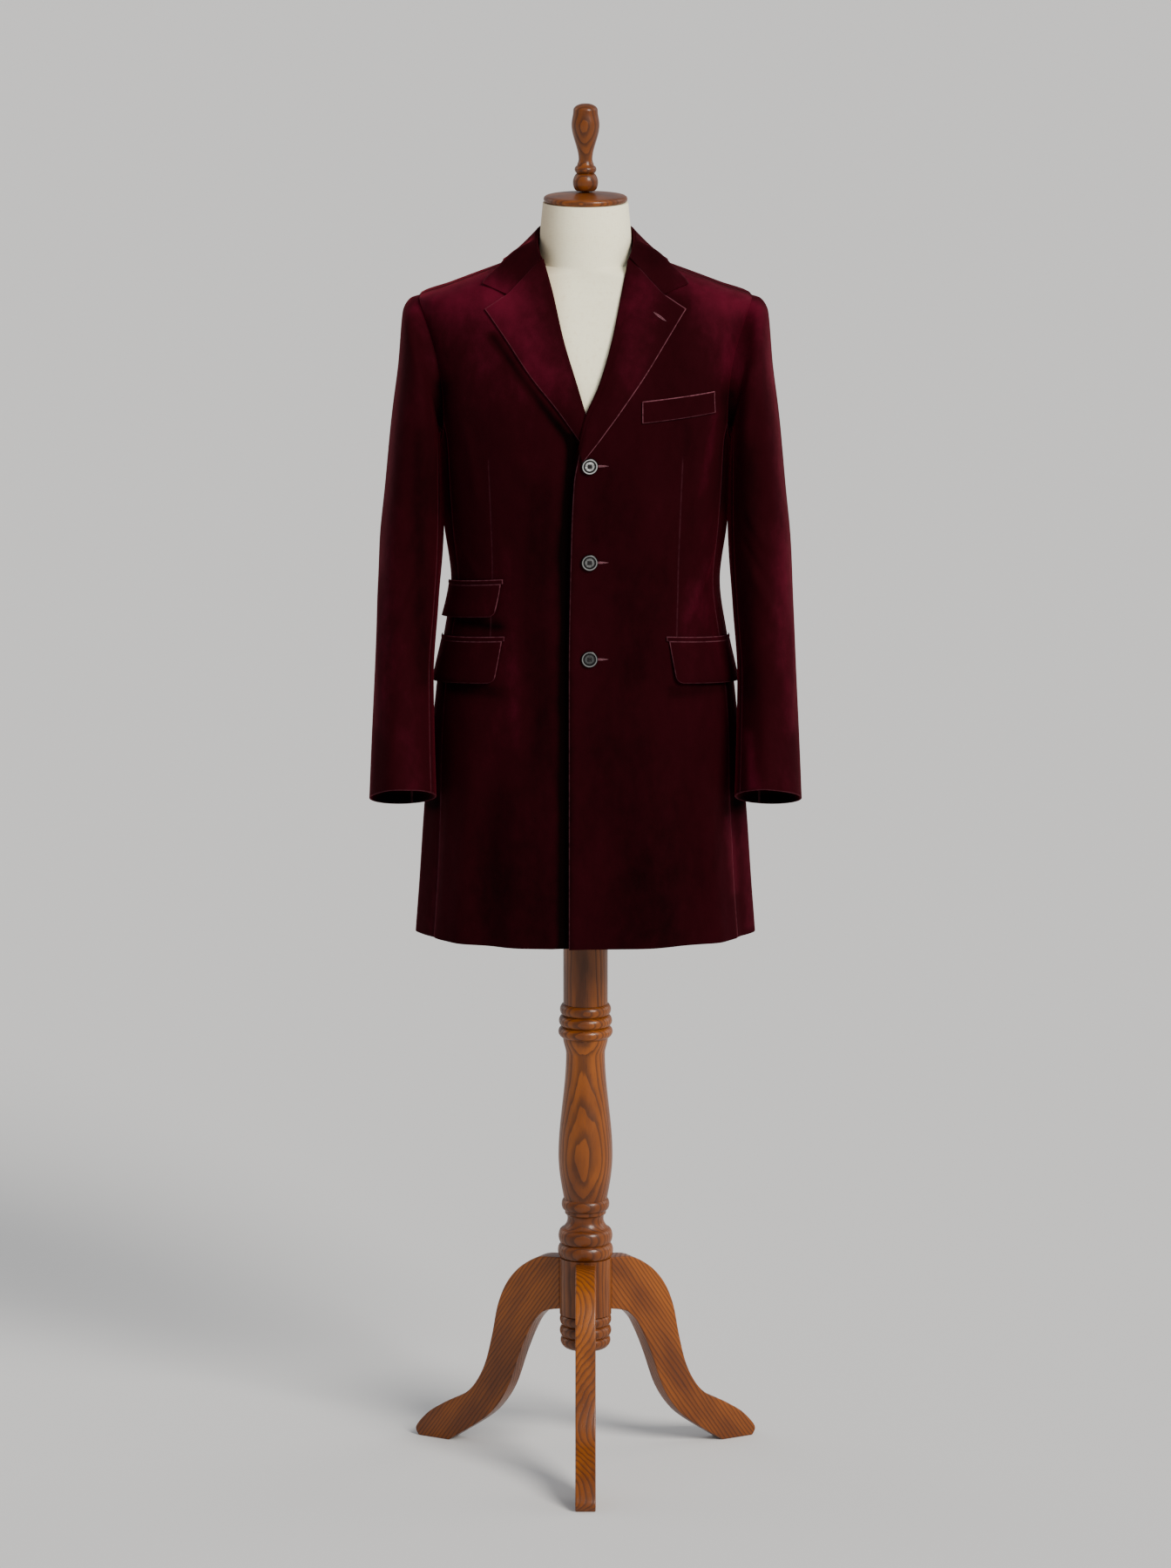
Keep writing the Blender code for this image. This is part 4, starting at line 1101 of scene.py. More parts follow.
COLUMN = [
    Turn("upper bead", 0.6107, 0.0298, 0.0302, "bead", 0.0040, 3),
    Turn("middle bead", 0.5953, 0.0305, 0.0308, "bead", 0.0048, 3),
    Turn("lower bead", 0.5800, 0.0308, 0.0300, "bead", 0.0058, 3),
    Turn("throat", 0.5575, 0.0300, 0.0259, "ease", 0.0000, 3),
    Turn("vase", 0.4205, 0.0259, 0.0361, "ease", 0.0000, 7),
    Turn("vase foot", 0.3600, 0.0361, 0.0288, "round down", 0.0000, 4),
    Turn("waist bead", 0.3450, 0.0290, 0.0290, "bead", 0.0030, 3),
    Turn("fillet", 0.3400, 0.0275, 0.0275, "straight", 0.0000, 1),
    Turn("cove", 0.3190, 0.0275, 0.0325, "bead", -0.0055, 5),
    Turn("collar bead", 0.2990, 0.0325, 0.0325, "bead", 0.0036, 3),
    Turn("foot bead", 0.2795, 0.0325, 0.0325, "bead", 0.0045, 3),
    Turn("leg block", 0.2020, LEG_BLOCK_RADIUS, LEG_BLOCK_RADIUS, "straight", 0.0000, 1),
    Turn("first ring", 0.1865, 0.0305, 0.0305, "bead", 0.0041, 3),
    Turn("second ring", 0.1710, 0.0305, 0.0305, "bead", 0.0041, 3),
    Turn("third ring", 0.1550, 0.0305, 0.0260, "bead", 0.0050, 3),
]
POLE_TOP = FORM_BASE - SEAM_GAP
POLE = [Turn("pole", COLUMN_TOP + SEAM_GAP, 0.0296, 0.0296, "straight", 0.0000, 6)]
BUTTON_FACE = 0.0027
BUTTON = [
    Turn("middle", 0.0027, 0.0000, 0.0048, "straight", 0.0000, 2),
    Turn("inner lip", 0.0026, 0.0048, 0.0062, "bead", 0.0000, 2),
    Turn("groove wall", 0.0019, 0.0062, 0.0066, "ease", 0.0000, 1),
    Turn("groove", 0.0020, 0.0066, 0.0076, "straight", 0.0000, 1),
    Turn("slope", 0.0037, 0.0076, 0.0088, "ease", 0.0000, 2),
    Turn("rim top", 0.0037, 0.0088, 0.0097, "straight", 0.0000, 1),
    Turn("rim", 0.0018, 0.0097, 0.0110, "round", 0.0000, 3),
    Turn("under", 0.0000, 0.0110, 0.0085, "ease", 0.0000, 2),
]
print("rows of turned profiles", sum(len(rows) for rows in (NECK_CAP, FINIAL, COLUMN, POLE, BUTTON)))

# %% Turning a profile
BEAD_ROUNDNESS = 0.6
TURN_FINENESS = 4
TURN_STEPS = 72
LEAST_STEP = 5e-5
TURNED_SMOOTH = math.radians(32)


def turned_profile(top, rows):
    """Points from the top down, as radius and height, closed on the axis at both ends."""
    points = [(0.0, top)]
    for row in rows:
        for t in np.linspace(0, 1, row.steps * TURN_FINENESS + 1):
            swept = math.sqrt(1 - (1 - t) ** 2)
            drawn_in = 1 - math.cos(math.pi / 2 * t)
            shapes = {"ease": eased(t), "round": swept, "round down": drawn_in}
            radius = blend(row.start, row.end, shapes.get(row.shape, t))
            if row.shape == "bead":
                radius += row.swell * math.sin(math.pi * t) ** BEAD_ROUNDNESS
            spot = (float(radius), float(blend(top, row.bottom, t)))
            if math.dist(spot, points[-1]) > LEAST_STEP:
                points.append(spot)
        top = row.bottom
    return points + [(0.0, top)]


def add_line(name, spots):
    """Draws a line by extruding one point from spot to spot, and stays in edit mode."""
    clear_selection()
    bpy.ops.mesh.primitive_plane_add(size=0.001)
    piece = bpy.context.object
    piece.name = name
    bpy.ops.object.mode_set(mode="EDIT")
    bpy.ops.mesh.merge(type="CENTER")
    bpy.ops.transform.translate(value=spots[0])
    for spot, following in zip(spots, spots[1:]):
        move = tuple(end - start for start, end in zip(spot, following))
        bpy.ops.mesh.extrude_region_move(TRANSFORM_OT_translate={"value": move})
    return piece


def add_turned(name, top, rows, steps=TURN_STEPS):
    piece = add_line(name, [(radius, 0.0, height) for radius, height in turned_profile(top, rows)])
    bpy.ops.mesh.select_all(action="SELECT")
    bpy.ops.mesh.spin(steps=steps, angle=2 * math.pi, center=(0, 0, 0), axis=(0, 0, 1))
    bpy.ops.mesh.select_all(action="SELECT")
    bpy.ops.mesh.remove_doubles(threshold=1e-5)
    face_outwards()
    bpy.ops.object.shade_smooth_by_angle(angle=TURNED_SMOOTH)
    return piece


def settle(piece):
    """Puts the object's place, turn and scale into its mesh."""
    clear_selection()
    piece.select_set(True)
    bpy.context.view_layer.objects.active = piece
    bpy.ops.object.transform_apply(location=True, rotation=True, scale=True)


WOOD = {}
for node, top, rows in (
    ("neck_cap", CAP_TOP, NECK_CAP),
    ("finial", FINIAL_TOP, FINIAL),
    ("pole", POLE_TOP, POLE),
    ("column", COLUMN_TOP, COLUMN),
):
    WOOD[node] = add_turned(f"wood_{node}", top, rows)
    WOOD[node].location.y = POST_Y
    settle(WOOD[node])
    print(node, len(WOOD[node].data.polygons), "faces")

# %% [markdown]
# The grain of a board runs straight along it, whatever shape is sawn out of it.
# So each wooden piece keeps its own board's coordinates as an attribute, with the grain along Z.

# %% Board coordinates
LEG_GRAIN_RUN = 0.15
LEG_GRAIN_RISE = 0.21
LEG_SLOPE = math.atan2(LEG_GRAIN_RUN, LEG_GRAIN_RISE)


def keep_grain(piece, slope, middle=(0.0, 0.0)):
    """Keeps each point's place in its board, which leans by this slope in the X-Z plane."""
    spots = points_of(piece) - np.array([middle[0], middle[1], 0.0])
    across = spots[:, 0] * math.cos(slope) + spots[:, 2] * math.sin(slope)
    lengthways = spots[:, 2] * math.cos(slope) - spots[:, 0] * math.sin(slope)
    board = np.stack([across, spots[:, 1], lengthways], axis=-1)
    piece.data.attributes.new("grain", "FLOAT_VECTOR", "POINT").data.foreach_set("vector", board.ravel())


for node in ("neck_cap", "finial", "pole", "column"):
    keep_grain(WOOD[node], 0.0, (0.0, POST_Y))
print("a leg's grain leans by", round(LEG_SLOPE, 3))

# %% [markdown]
# ## Legs
# Each leg is sawn from a thick board to a double curve, and its edges are rounded over by hand.
# Its outline is drawn point by point, filled, and extruded to the board's thickness.
# A bevel rounds the long edges, and the leg is then turned to its place round the post.

# %% Sawn legs
LEG_THICKNESS = 0.027
LEG_ROUND = 0.0055
LEG_SEAT = math.sqrt(LEG_BLOCK_RADIUS**2 - (LEG_THICKNESS / 2) ** 2)
LEG_REACH = 0.258
LEG_ANGLES = {"leg_front": -90, "leg_left": 30, "leg_right": 150}
LEG_SUBSTEPS = 6
LEG_SMOOTH = math.radians(35)
Leg = namedtuple("Leg", "row reach height")
LEG_UPPER = [
    Leg(0, LEG_SEAT, 0.2770),
    Leg(1, 0.0600, 0.2745),
    Leg(2, 0.0900, 0.2590),
    Leg(3, 0.1150, 0.2310),
    Leg(4, 0.1290, 0.1980),
    Leg(5, 0.1380, 0.1550),
    Leg(6, 0.1500, 0.1120),
    Leg(7, 0.1740, 0.0740),
    Leg(8, 0.2120, 0.0520),
    Leg(9, 0.2400, 0.0330),
    Leg(10, LEG_REACH, 0.0100),
    Leg(11, 0.2535, 0.0000),
]
LEG_LOWER = [
    Leg(0, 0.2060, 0.0000),
    Leg(1, 0.1940, 0.0080),
    Leg(2, 0.1400, 0.0470),
    Leg(3, 0.1140, 0.0840),
    Leg(4, 0.0965, 0.1310),
    Leg(5, 0.0856, 0.1580),
    Leg(6, 0.0700, 0.1870),
    Leg(7, 0.0530, 0.2010),
    Leg(8, LEG_SEAT, 0.2060),
]


def leg_outline():
    spots = []
    for edge in (LEG_UPPER, LEG_LOWER):
        rows = np.linspace(0, edge[-1].row, edge[-1].row * LEG_SUBSTEPS + 1)
        spots += list(zip(along(edge, "reach", rows) + SEAM_GAP, along(edge, "height", rows)))
    return [(float(reach), -LEG_THICKNESS / 2, float(height)) for reach, height in spots]


def add_leg(name, angle):
    leg = add_line(name, leg_outline())
    bpy.ops.mesh.select_all(action="SELECT")
    bpy.ops.mesh.edge_face_add()
    bpy.ops.mesh.extrude_region_move(TRANSFORM_OT_translate={"value": (0, LEG_THICKNESS, 0)})
    face_outwards()
    round_edges(leg, LEG_ROUND, segments=5, sharpest=60)
    apply_modifiers(leg)
    bpy.ops.object.shade_smooth_by_angle(angle=LEG_SMOOTH)
    keep_grain(leg, LEG_SLOPE)
    leg.rotation_euler.z = math.radians(angle)
    leg.location.y = POST_Y
    settle(leg)
    return leg


for node, angle in LEG_ANGLES.items():
    WOOD[node] = add_leg(f"wood_{node}", angle)
    print(node, len(WOOD[node].data.polygons), "faces")

# %% [markdown]
# ## Buttons and buttonholes
# Each button is turned with a ringed rim, drilled with four holes and sewn on with two bars of thread.
# One button is modelled and copied, and each copy is set on the cloth by a ray cast from the front.
# A buttonhole is a loop of thread, so a torus is pulled out lengthways.

# %% One button, drilled
BUTTON_X = 0.0050
BUTTON_HEIGHTS = {"button_top": 1.368, "button_middle": 1.240, "button_low": 1.1125}
# How strong each button's painted highlight is.
BUTTON_SHINE = {"button_top": 0.45, "button_middle": 0.10, "button_low": 0.03}
HOLE_RADIUS = 0.00085
HOLE_PITCH = 0.0020
THREAD_RADIUS = 0.0005
DRILL_LENGTH = 0.02

pattern_button = add_turned("pattern_button", BUTTON_FACE, BUTTON, steps=64)
for hole_x in (-HOLE_PITCH, HOLE_PITCH):
    for hole_y in (-HOLE_PITCH, HOLE_PITCH):
        clear_selection()
        bpy.ops.mesh.primitive_cylinder_add(
            vertices=16, radius=HOLE_RADIUS, depth=DRILL_LENGTH, location=(hole_x, hole_y, 0)
        )
        drill = bpy.context.object
        cut = pattern_button.modifiers.new("hole", "BOOLEAN")
        cut.operation = "DIFFERENCE"
        cut.object = drill
        apply_modifiers(pattern_button)
        bpy.data.objects.remove(drill, do_unlink=True)
keep(pattern_button, "ring", np.linalg.norm(points_of(pattern_button)[:, :2], axis=1))
print("button", len(pattern_button.data.polygons), "faces")

# %% Setting pieces on the cloth


def spot_on(cloth, x, height):
    """The cloth's point in front at this x and height, and the way it faces there."""
    _, spot, outward, _ = cloth.ray_cast(Vector((x, -1.0, height)), Vector((0.0, 1.0, 0.0)))
    return spot, outward


def set_on(piece, cloth, x, height, lift):
    """Moves a piece from the origin onto the cloth, facing the way the cloth does."""
    spot, outward = spot_on(cloth, x, height)
    right = Vector((0.0, 0.0, 1.0)).cross(outward).normalized()
    upward = outward.cross(right)
    turn = Matrix((right, upward, outward)).transposed().to_4x4()
    piece.matrix_world = Matrix.Translation(spot + outward * lift) @ turn
    settle(piece)


def copied(piece, name):
    copy = piece.copy()
    copy.data = piece.data.copy()
    copy.name = name
    bpy.context.scene.collection.objects.link(copy)
    return copy


BUTTONS = {}
THREADS = []
BUTTON_LIFT = 0.0007
for node, height in BUTTON_HEIGHTS.items():
    BUTTONS[node] = copied(pattern_button, f"ringed_{node}")
    set_on(BUTTONS[node], VELVET["front_left"], BUTTON_X, height, BUTTON_LIFT)
    keep(BUTTONS[node], "shine", np.full(len(BUTTONS[node].data.vertices), BUTTON_SHINE[node]))
    clear_selection()
    bpy.ops.mesh.primitive_cylinder_add(
        vertices=12, radius=THREAD_RADIUS, depth=2 * HOLE_PITCH, rotation=(0, math.pi / 2, 0)
    )
    thread = bpy.context.object
    thread.name = f"thread_{node}"
    edit_all()
    bpy.ops.transform.translate(value=(0, HOLE_PITCH, BUTTON_FACE))
    bpy.ops.mesh.duplicate_move(TRANSFORM_OT_translate={"value": (0, -2 * HOLE_PITCH, 0)})
    bpy.ops.object.mode_set(mode="OBJECT")
    settle(thread)
    set_on(thread, VELVET["front_left"], BUTTON_X, height, BUTTON_LIFT)
    thread.data.shade_smooth()
    THREADS.append(thread)
bpy.data.objects.remove(pattern_button, do_unlink=True)
print("buttons at", BUTTON_HEIGHTS)

# %% Buttonholes
Hole = namedtuple("Hole", "name cloth x height length lean")
HOLES = [
    Hole("buttonhole_top", "front_left", 0.0185, 1.3675, 0.0235, 0),
    Hole("buttonhole_middle", "front_left", 0.0185, 1.2395, 0.0235, 0),
    Hole("buttonhole_low", "front_left", 0.0185, 1.1120, 0.0235, 0),
    Hole("buttonhole_lapel", "lapel_left", 0.0959, 1.5555, 0.0215, -35),
]
HOLE_WIDTH = 0.0008
HOLE_THREAD = 0.0006


def lay_on(piece, cloth, x, height, lean):
    """Lays a flat piece on the cloth point by point, so that it follows the cloth's curve."""
    for vertex in piece.data.vertices:
        flat = Matrix.Rotation(math.radians(lean), 3, "Z") @ vertex.co
        spot, outward = spot_on(cloth, x + flat.x, height + flat.y)
        vertex.co = spot + outward * flat.z


for hole in HOLES:
    clear_selection()
    bpy.ops.mesh.primitive_torus_add(
        major_segments=40, minor_segments=10, major_radius=HOLE_WIDTH, minor_radius=HOLE_THREAD
    )
    loop = bpy.context.object
    loop.name = hole.name
    stretch = hole.length / 2 - HOLE_WIDTH - HOLE_THREAD
    for vertex in loop.data.vertices:
        swing = math.atan2(abs(vertex.co.y), vertex.co.x)
        vertex.co.x += stretch * (1 - 2 * swing / math.pi)
    loop.data.shade_smooth()
    lay_on(loop, VELVET[hole.cloth], hole.x, hole.height, hole.lean)
    THREADS.append(loop)
print("buttons", len(BUTTONS), "thread pieces", len(THREADS))

# %% [markdown]
# ## Writing a finish
# A finish is a small net of nodes. Written one node at a time it is long and hard to read.
# So one class carries a socket through ordinary sums, and one method adds any other node.

# %% A class for shader sums


class Wire:
    """A node's output, which takes part in Python sums by adding Math nodes."""

    def __init__(self, finish, socket):
        self.finish = finish
        self.socket = socket

    def sum(self, operation, first, second):
        return self.finish.node("ShaderNodeMath", {"operation": operation}, {0: first, 1: second})

    def __add__(self, other):
        return self.sum("ADD", self, other)

    def __radd__(self, other):
        return self.sum("ADD", other, self)

    def __sub__(self, other):
        return self.sum("SUBTRACT", self, other)

    def __rsub__(self, other):
        return self.sum("SUBTRACT", other, self)

    def __mul__(self, other):
        return self.sum("MULTIPLY", self, other)

    def __rmul__(self, other):
        return self.sum("MULTIPLY", other, self)


print("Wire:", Wire.__doc__)

# %% A class for a finish


class Finish:
    """A material in the making, with its Principled shader."""

    def __init__(self, name, **constants):
        self.material = bpy.data.materials.new(name)
        self.material.use_nodes = True
        self.tree = self.material.node_tree
        self.shader = self.tree.nodes["Principled BSDF"]
        for socket, value in constants.items():
            self.shader.inputs[socket.replace("_", " ")].default_value = value

    def node(self, kind, settings=(), inputs=(), output=0):
        made = self.tree.nodes.new(kind)
        for key, value in dict(settings).items():
            setattr(made, key, value)
        for key, value in dict(inputs).items():
            if isinstance(value, Wire):
                self.tree.links.new(value.socket, made.inputs[key])
            else:
                made.inputs[key].default_value = value
        return Wire(self, made.outputs[output])

    def place(self, output="Object"):
        """Where a point lies in its piece's own space, or on its UV map."""
        return self.node("ShaderNodeTexCoord", {}, {}, output)

    def mixed(self, share, first, second):
        """A colour between two colours."""
        settings = {"data_type": "RGBA", "clamp_factor": True}
        return self.node("ShaderNodeMix", settings, {0: share, 6: first, 7: second}, 2)

    def noise(self, place, scale, detail=2.0, roughness=0.5):
        inputs = {"Vector": place, "Scale": scale, "Detail": detail, "Roughness": roughness}
        return self.node("ShaderNodeTexNoise", {}, inputs)

    def ramp(self, value, low, high):
        """0 at low and 1 at high, with soft ends; low may be the larger."""
        inputs = {"Value": value, "From Min": low, "From Max": high}
        return self.node("ShaderNodeMapRange", {"interpolation_type": "SMOOTHSTEP"}, inputs)

    def stretched(self, place, scale):
        return self.node("ShaderNodeMapping", {}, {"Vector": place, "Scale": scale})

    def attribute(self, name, output):
        return self.node("ShaderNodeAttribute", {"attribute_name": name}, {}, output)

    def feed(self, socket, wire):
        self.tree.links.new(wire.socket, self.shader.inputs[socket])

    def feed_bump(self, height, distance, strength=1.0):
        inputs = {"Height": height, "Distance": distance, "Strength": strength}
        self.feed("Normal", self.node("ShaderNodeBump", {}, inputs))


print("Finish:", Finish.__doc__)

# %% Colours and painting


def paint(pieces, finish):
    for piece in pieces:
        piece.data.materials.clear()
        piece.data.materials.append(finish.material)


def colour(red, green, blue):
    """A colour of the photograph's 0 to 255 scale, as the light values that a shader takes."""

    # The numbers below are those of the sRGB standard.
    def light(value):
        share = value / 255
        return share / 12.92 if share <= 0.04045 else ((share + 0.055) / 1.055) ** 2.4

    return (light(red), light(green), light(blue), 1.0)


print("a mid grey is", round(colour(128, 128, 128)[0], 3), "as light")

# %% [markdown]
# ## Velvet
# Velvet is a cut pile: it looks almost black straight on, and its fibres catch light towards a form's edges.
# The Principled shader's sheen does that, and the strokes paint light and shade into the base colour, softly
# clouded.
# Along the listed edges a paler line is painted as a highlight, and beside a seam or a dart the pile is
# parted.

# %% The velvet finish
# Darkest velvet: painted shade and dark random tone. Lightest velvet: painted highlight and light random
# tone.
VELVET_DARK_AND_PAINTED_SHADE = colour(5, 0, 0)
VELVET_PLAIN = colour(35, 2, 7)
VELVET_LIGHT_AND_PAINTED_HIGHLIGHT = colour(79, 11, 30)
# Pale line colour: painted highlight along edges, and parted pile at seams and darts.
VELVET_PALE_LINE = colour(140, 84, 96)
DARK_AND_SHADE_SPAN = (-0.9, 0.1)
LIGHT_AND_HIGHLIGHT_SPAN = (0.0, 1.0)
CLOUD_STRETCH = (1.0, 1.0, 0.45)
CLOUD_WEIGHT = 0.9
SPECK_STRETCH = (1.0, 1.0, 0.6)
SPECK_WEIGHT = 0.5
PILE_WEIGHT = 0.4
BREAKUP_SPAN = (0.36, 0.58)
BREAKUP_LEAST = 0.5
VELVET_ROUGH = 0.92
VELVET_ROUGH_DROP = 0.2
VELVET_ROUGH_SPAN = (-0.5, 1.0)
PILE_BUMP = 0.5
SPECK_BUMP = 0.8
DART_BUMP = 0.6
EDGE_LINE = (0.0015, 0.0005)
SEAM_LINE = (0.0020, 0.0008)
SEAM_STRENGTH = 0.13
DART_LINE = (0.0013, 0.0004)
DART_END = 0.012
DART_STRENGTH = 0.06
COLLAR_SHADE = -0.22


def velvet_finish(name, shade):
    """Velvet whose pile lies darker or lighter than plain by this much."""
    velvet = Finish(
        name,
        Sheen_Weight=0.28,
        Sheen_Roughness=0.30,
        Sheen_Tint=colour(200, 48, 76),
        Specular_IOR_Level=0.03,
    )
    place = velvet.place()
    clouds = velvet.noise(velvet.stretched(place, CLOUD_STRETCH), scale=13.0, detail=3.0)
    specks = velvet.noise(velvet.stretched(place, SPECK_STRETCH), scale=70.0, detail=4.0, roughness=0.6)
    pile = velvet.noise(place, scale=1400.0, roughness=0.6)
    mottle = (clouds - 0.5) * CLOUD_WEIGHT + (specks - 0.5) * SPECK_WEIGHT + (pile - 0.5) * PILE_WEIGHT
    # This sum carries the strokes' painted light and shade, the random mottle and the collar's darker tone.
    lie = velvet.attribute("nap", "Fac") + mottle + shade
    body = velvet.mixed(velvet.ramp(lie, *DARK_AND_SHADE_SPAN), VELVET_DARK_AND_PAINTED_SHADE, VELVET_PLAIN)
    body = velvet.mixed(velvet.ramp(lie, *LIGHT_AND_HIGHLIGHT_SPAN), body, VELVET_LIGHT_AND_PAINTED_HIGHLIGHT)
    breakup_noise = velvet.noise(place, scale=150.0, detail=3.0, roughness=0.6)
    broken_up = BREAKUP_LEAST + (1 - BREAKUP_LEAST) * velvet.ramp(breakup_noise, *BREAKUP_SPAN)
    # Painted highlight: a pale line along the listed edges, broken up by noise, added to the parted seams and
    # darts.
    painted_edge_highlights = velvet.ramp(velvet.attribute("edge", "Fac"), *EDGE_LINE) * velvet.attribute("wear", "Fac")
    parted = velvet.ramp(velvet.attribute("seam", "Fac"), *SEAM_LINE) * SEAM_STRENGTH
    aside = velvet.node("ShaderNodeMath", {"operation": "ABSOLUTE"}, {0: velvet.attribute("dart", "Fac")})
    past = velvet.attribute("past_dart", "Fac")
    darted = velvet.ramp(aside, *DART_LINE) * velvet.ramp(past, DART_END, 0.0)
    body = velvet.mixed((painted_edge_highlights + parted + darted * DART_STRENGTH) * broken_up, body, VELVET_PALE_LINE)
    velvet.feed("Base Color", body)
    velvet.feed("Roughness", VELVET_ROUGH - velvet.ramp(lie, *VELVET_ROUGH_SPAN) * VELVET_ROUGH_DROP)
    raised = pile * PILE_BUMP + specks * SPECK_BUMP - darted * DART_BUMP
    velvet.feed_bump(raised, distance=0.0006, strength=0.6)
    return velvet


velvet_cloth = velvet_finish("velvet_cloth", 0.0)
velvet_collar = velvet_finish("velvet_collar", COLLAR_SHADE)
paint(VELVET.values(), velvet_cloth)
paint([VELVET["collar"]], velvet_collar)
print("velvet nodes", len(velvet_cloth.tree.nodes))

# %% [markdown]
# ## Linen
# The form's cover is a plain weave of uneven threads, so two waves cross and each is disturbed by noise.
# It is kept pale and matt, with a little warm soiling, and a brown painted shade on the wearer's right, the
# side away from the key.

# %% The linen finish
LINEN_PALE = colour(255, 250, 218)
LINEN_WARM = colour(252, 238, 198)
LINEN_SOILED = colour(212, 188, 146)
LINEN_PAINTED_SHADE = colour(158, 114, 74)
LINEN_SHADE_SPAN = (-0.012, -0.060)
LINEN_SHADE_STRENGTH = 0.55
WARP_STRETCH = (620.0, 60.0, 1.0)
WEFT_STRETCH = (40.0, 900.0, 1.0)
WARM_SPAN = (0.48, 0.78)
WARM_STRENGTH = 0.35
SLUB_SPAN = (0.52, 0.66)
SLUB_STRENGTH = 0.30

linen = Finish("linen", Roughness=0.88, Sheen_Weight=0.15, Sheen_Roughness=0.5, Specular_IOR_Level=0.2)
linen_place = linen.place()
linen_flat = linen.place("UV")
warp = linen.noise(linen.stretched(linen_flat, WARP_STRETCH), scale=1.0)
weft = linen.noise(linen.stretched(linen_flat, WEFT_STRETCH), scale=1.0)
warmed = linen.ramp(linen.noise(linen_place, scale=11.0, detail=3.0, roughness=0.6), *WARM_SPAN)
slubs = linen.ramp(warp * 0.5 + weft * 0.5, *SLUB_SPAN)
linen_body = linen.mixed(warmed * WARM_STRENGTH, LINEN_PALE, LINEN_WARM)
linen_body = linen.mixed(slubs * SLUB_STRENGTH, linen_body, LINEN_SOILED)
# Painted shade: browner towards the wearer's right, away from the key light.
linen_x = linen.node("ShaderNodeSeparateXYZ", {}, {0: linen_place}, "X")
linen_body = linen.mixed(linen.ramp(linen_x, *LINEN_SHADE_SPAN) * LINEN_SHADE_STRENGTH, linen_body, LINEN_PAINTED_SHADE)
linen.feed("Base Color", linen_body)
linen.feed_bump(warp + weft, distance=0.0004, strength=0.5)
paint([linen_form], linen)
print("linen nodes", len(linen.tree.nodes))

# %% [markdown]
# ## Wood
# Growth rings are cylinders round the tree's pith, which lies behind the post here.
# Where the turned vase swells forward it cuts through them one after another, which draws nested ovals on it.
# So the rings are drawn in the board's own space as distance from the pith.
# The pores are fine dashes along it.

# %% The wood finish
WOOD_PALE = colour(136, 72, 10)
WOOD_MID = colour(92, 44, 6)
WOOD_DARK = colour(44, 18, 3)
PITH = (0.010, 0.115, 0.0)
RING_SPACING = 0.0042
RING_WAVER = 2.6
WAVER_STRETCH = (1.0, 1.0, 0.22)
LATE_RISE = (0.35, 0.92)
LATE_FALL = (1.0, 0.94)
LATE_STRENGTH = 0.62
PORE_STRETCH = (1400.0, 1400.0, 26.0)
PORE_SPAN = (0.56, 0.70)
PORE_STRENGTH = 0.30
LATE_PORE_STRENGTH = 0.4
SHADE_STRETCH = (1.0, 1.0, 0.3)
SHADE_SPAN = (0.34, 0.68)
WOOD_ROUGH = 0.36
LATE_ROUGH = 0.16
PORE_ROUGH = 0.12
LATE_BUMP = 0.4

wood = Finish("varnished_wood", Coat_Weight=0.22, Coat_Roughness=0.20, Specular_IOR_Level=0.25)
board = wood.attribute("grain", "Vector")
waver = wood.noise(wood.stretched(board, WAVER_STRETCH), scale=26.0, detail=3.0, roughness=0.55)
from_pith = wood.node("ShaderNodeVectorMath", {"operation": "SUBTRACT"}, {0: board, 1: PITH})
from_pith = wood.node("ShaderNodeVectorMath", {"operation": "MULTIPLY"}, {0: from_pith, 1: (1.0, 1.0, 0.0)})
radius = wood.node("ShaderNodeVectorMath", {"operation": "LENGTH"}, {0: from_pith}, "Value")
rings = radius * (1 / RING_SPACING) + waver * RING_WAVER
rings = wood.node("ShaderNodeMath", {"operation": "FRACT"}, {0: rings})
late = wood.ramp(rings, *LATE_RISE) * wood.ramp(rings, *LATE_FALL)
pores = wood.noise(wood.stretched(board, PORE_STRETCH), scale=1.0, roughness=0.6)
pores = wood.ramp(pores, *PORE_SPAN)
shades = wood.noise(wood.stretched(board, SHADE_STRETCH), scale=14.0, detail=3.0, roughness=0.6)
wood_body = wood.mixed(wood.ramp(shades, *SHADE_SPAN), WOOD_MID, WOOD_PALE)
wood_body = wood.mixed(late * LATE_STRENGTH, wood_body, WOOD_DARK)
wood_body = wood.mixed(pores * (PORE_STRENGTH + LATE_PORE_STRENGTH * late), wood_body, WOOD_DARK)
wood.feed("Base Color", wood_body)
wood.feed("Roughness", WOOD_ROUGH + LATE_ROUGH * late + PORE_ROUGH * pores)
wood.feed_bump(0.0 - pores - late * LATE_BUMP, distance=0.0003, strength=0.5)
paint(WOOD.values(), wood)
print("wood nodes", len(wood.tree.nodes))

# %% [markdown]
# ## Buttons and thread
# The buttons are polished, with a dark groove and a paler disc round a dark middle, and a painted highlight
# on the rim and the disc.
# The distance from the middle, kept on the mesh, tells the finish which ring it is in.
# The top one catches the most light, so each mesh also keeps how strong the painted highlight on its rim and
# disc is.
# The thread is twisted silk: a little paler than the cloth at the holes, and dark on the buttons.

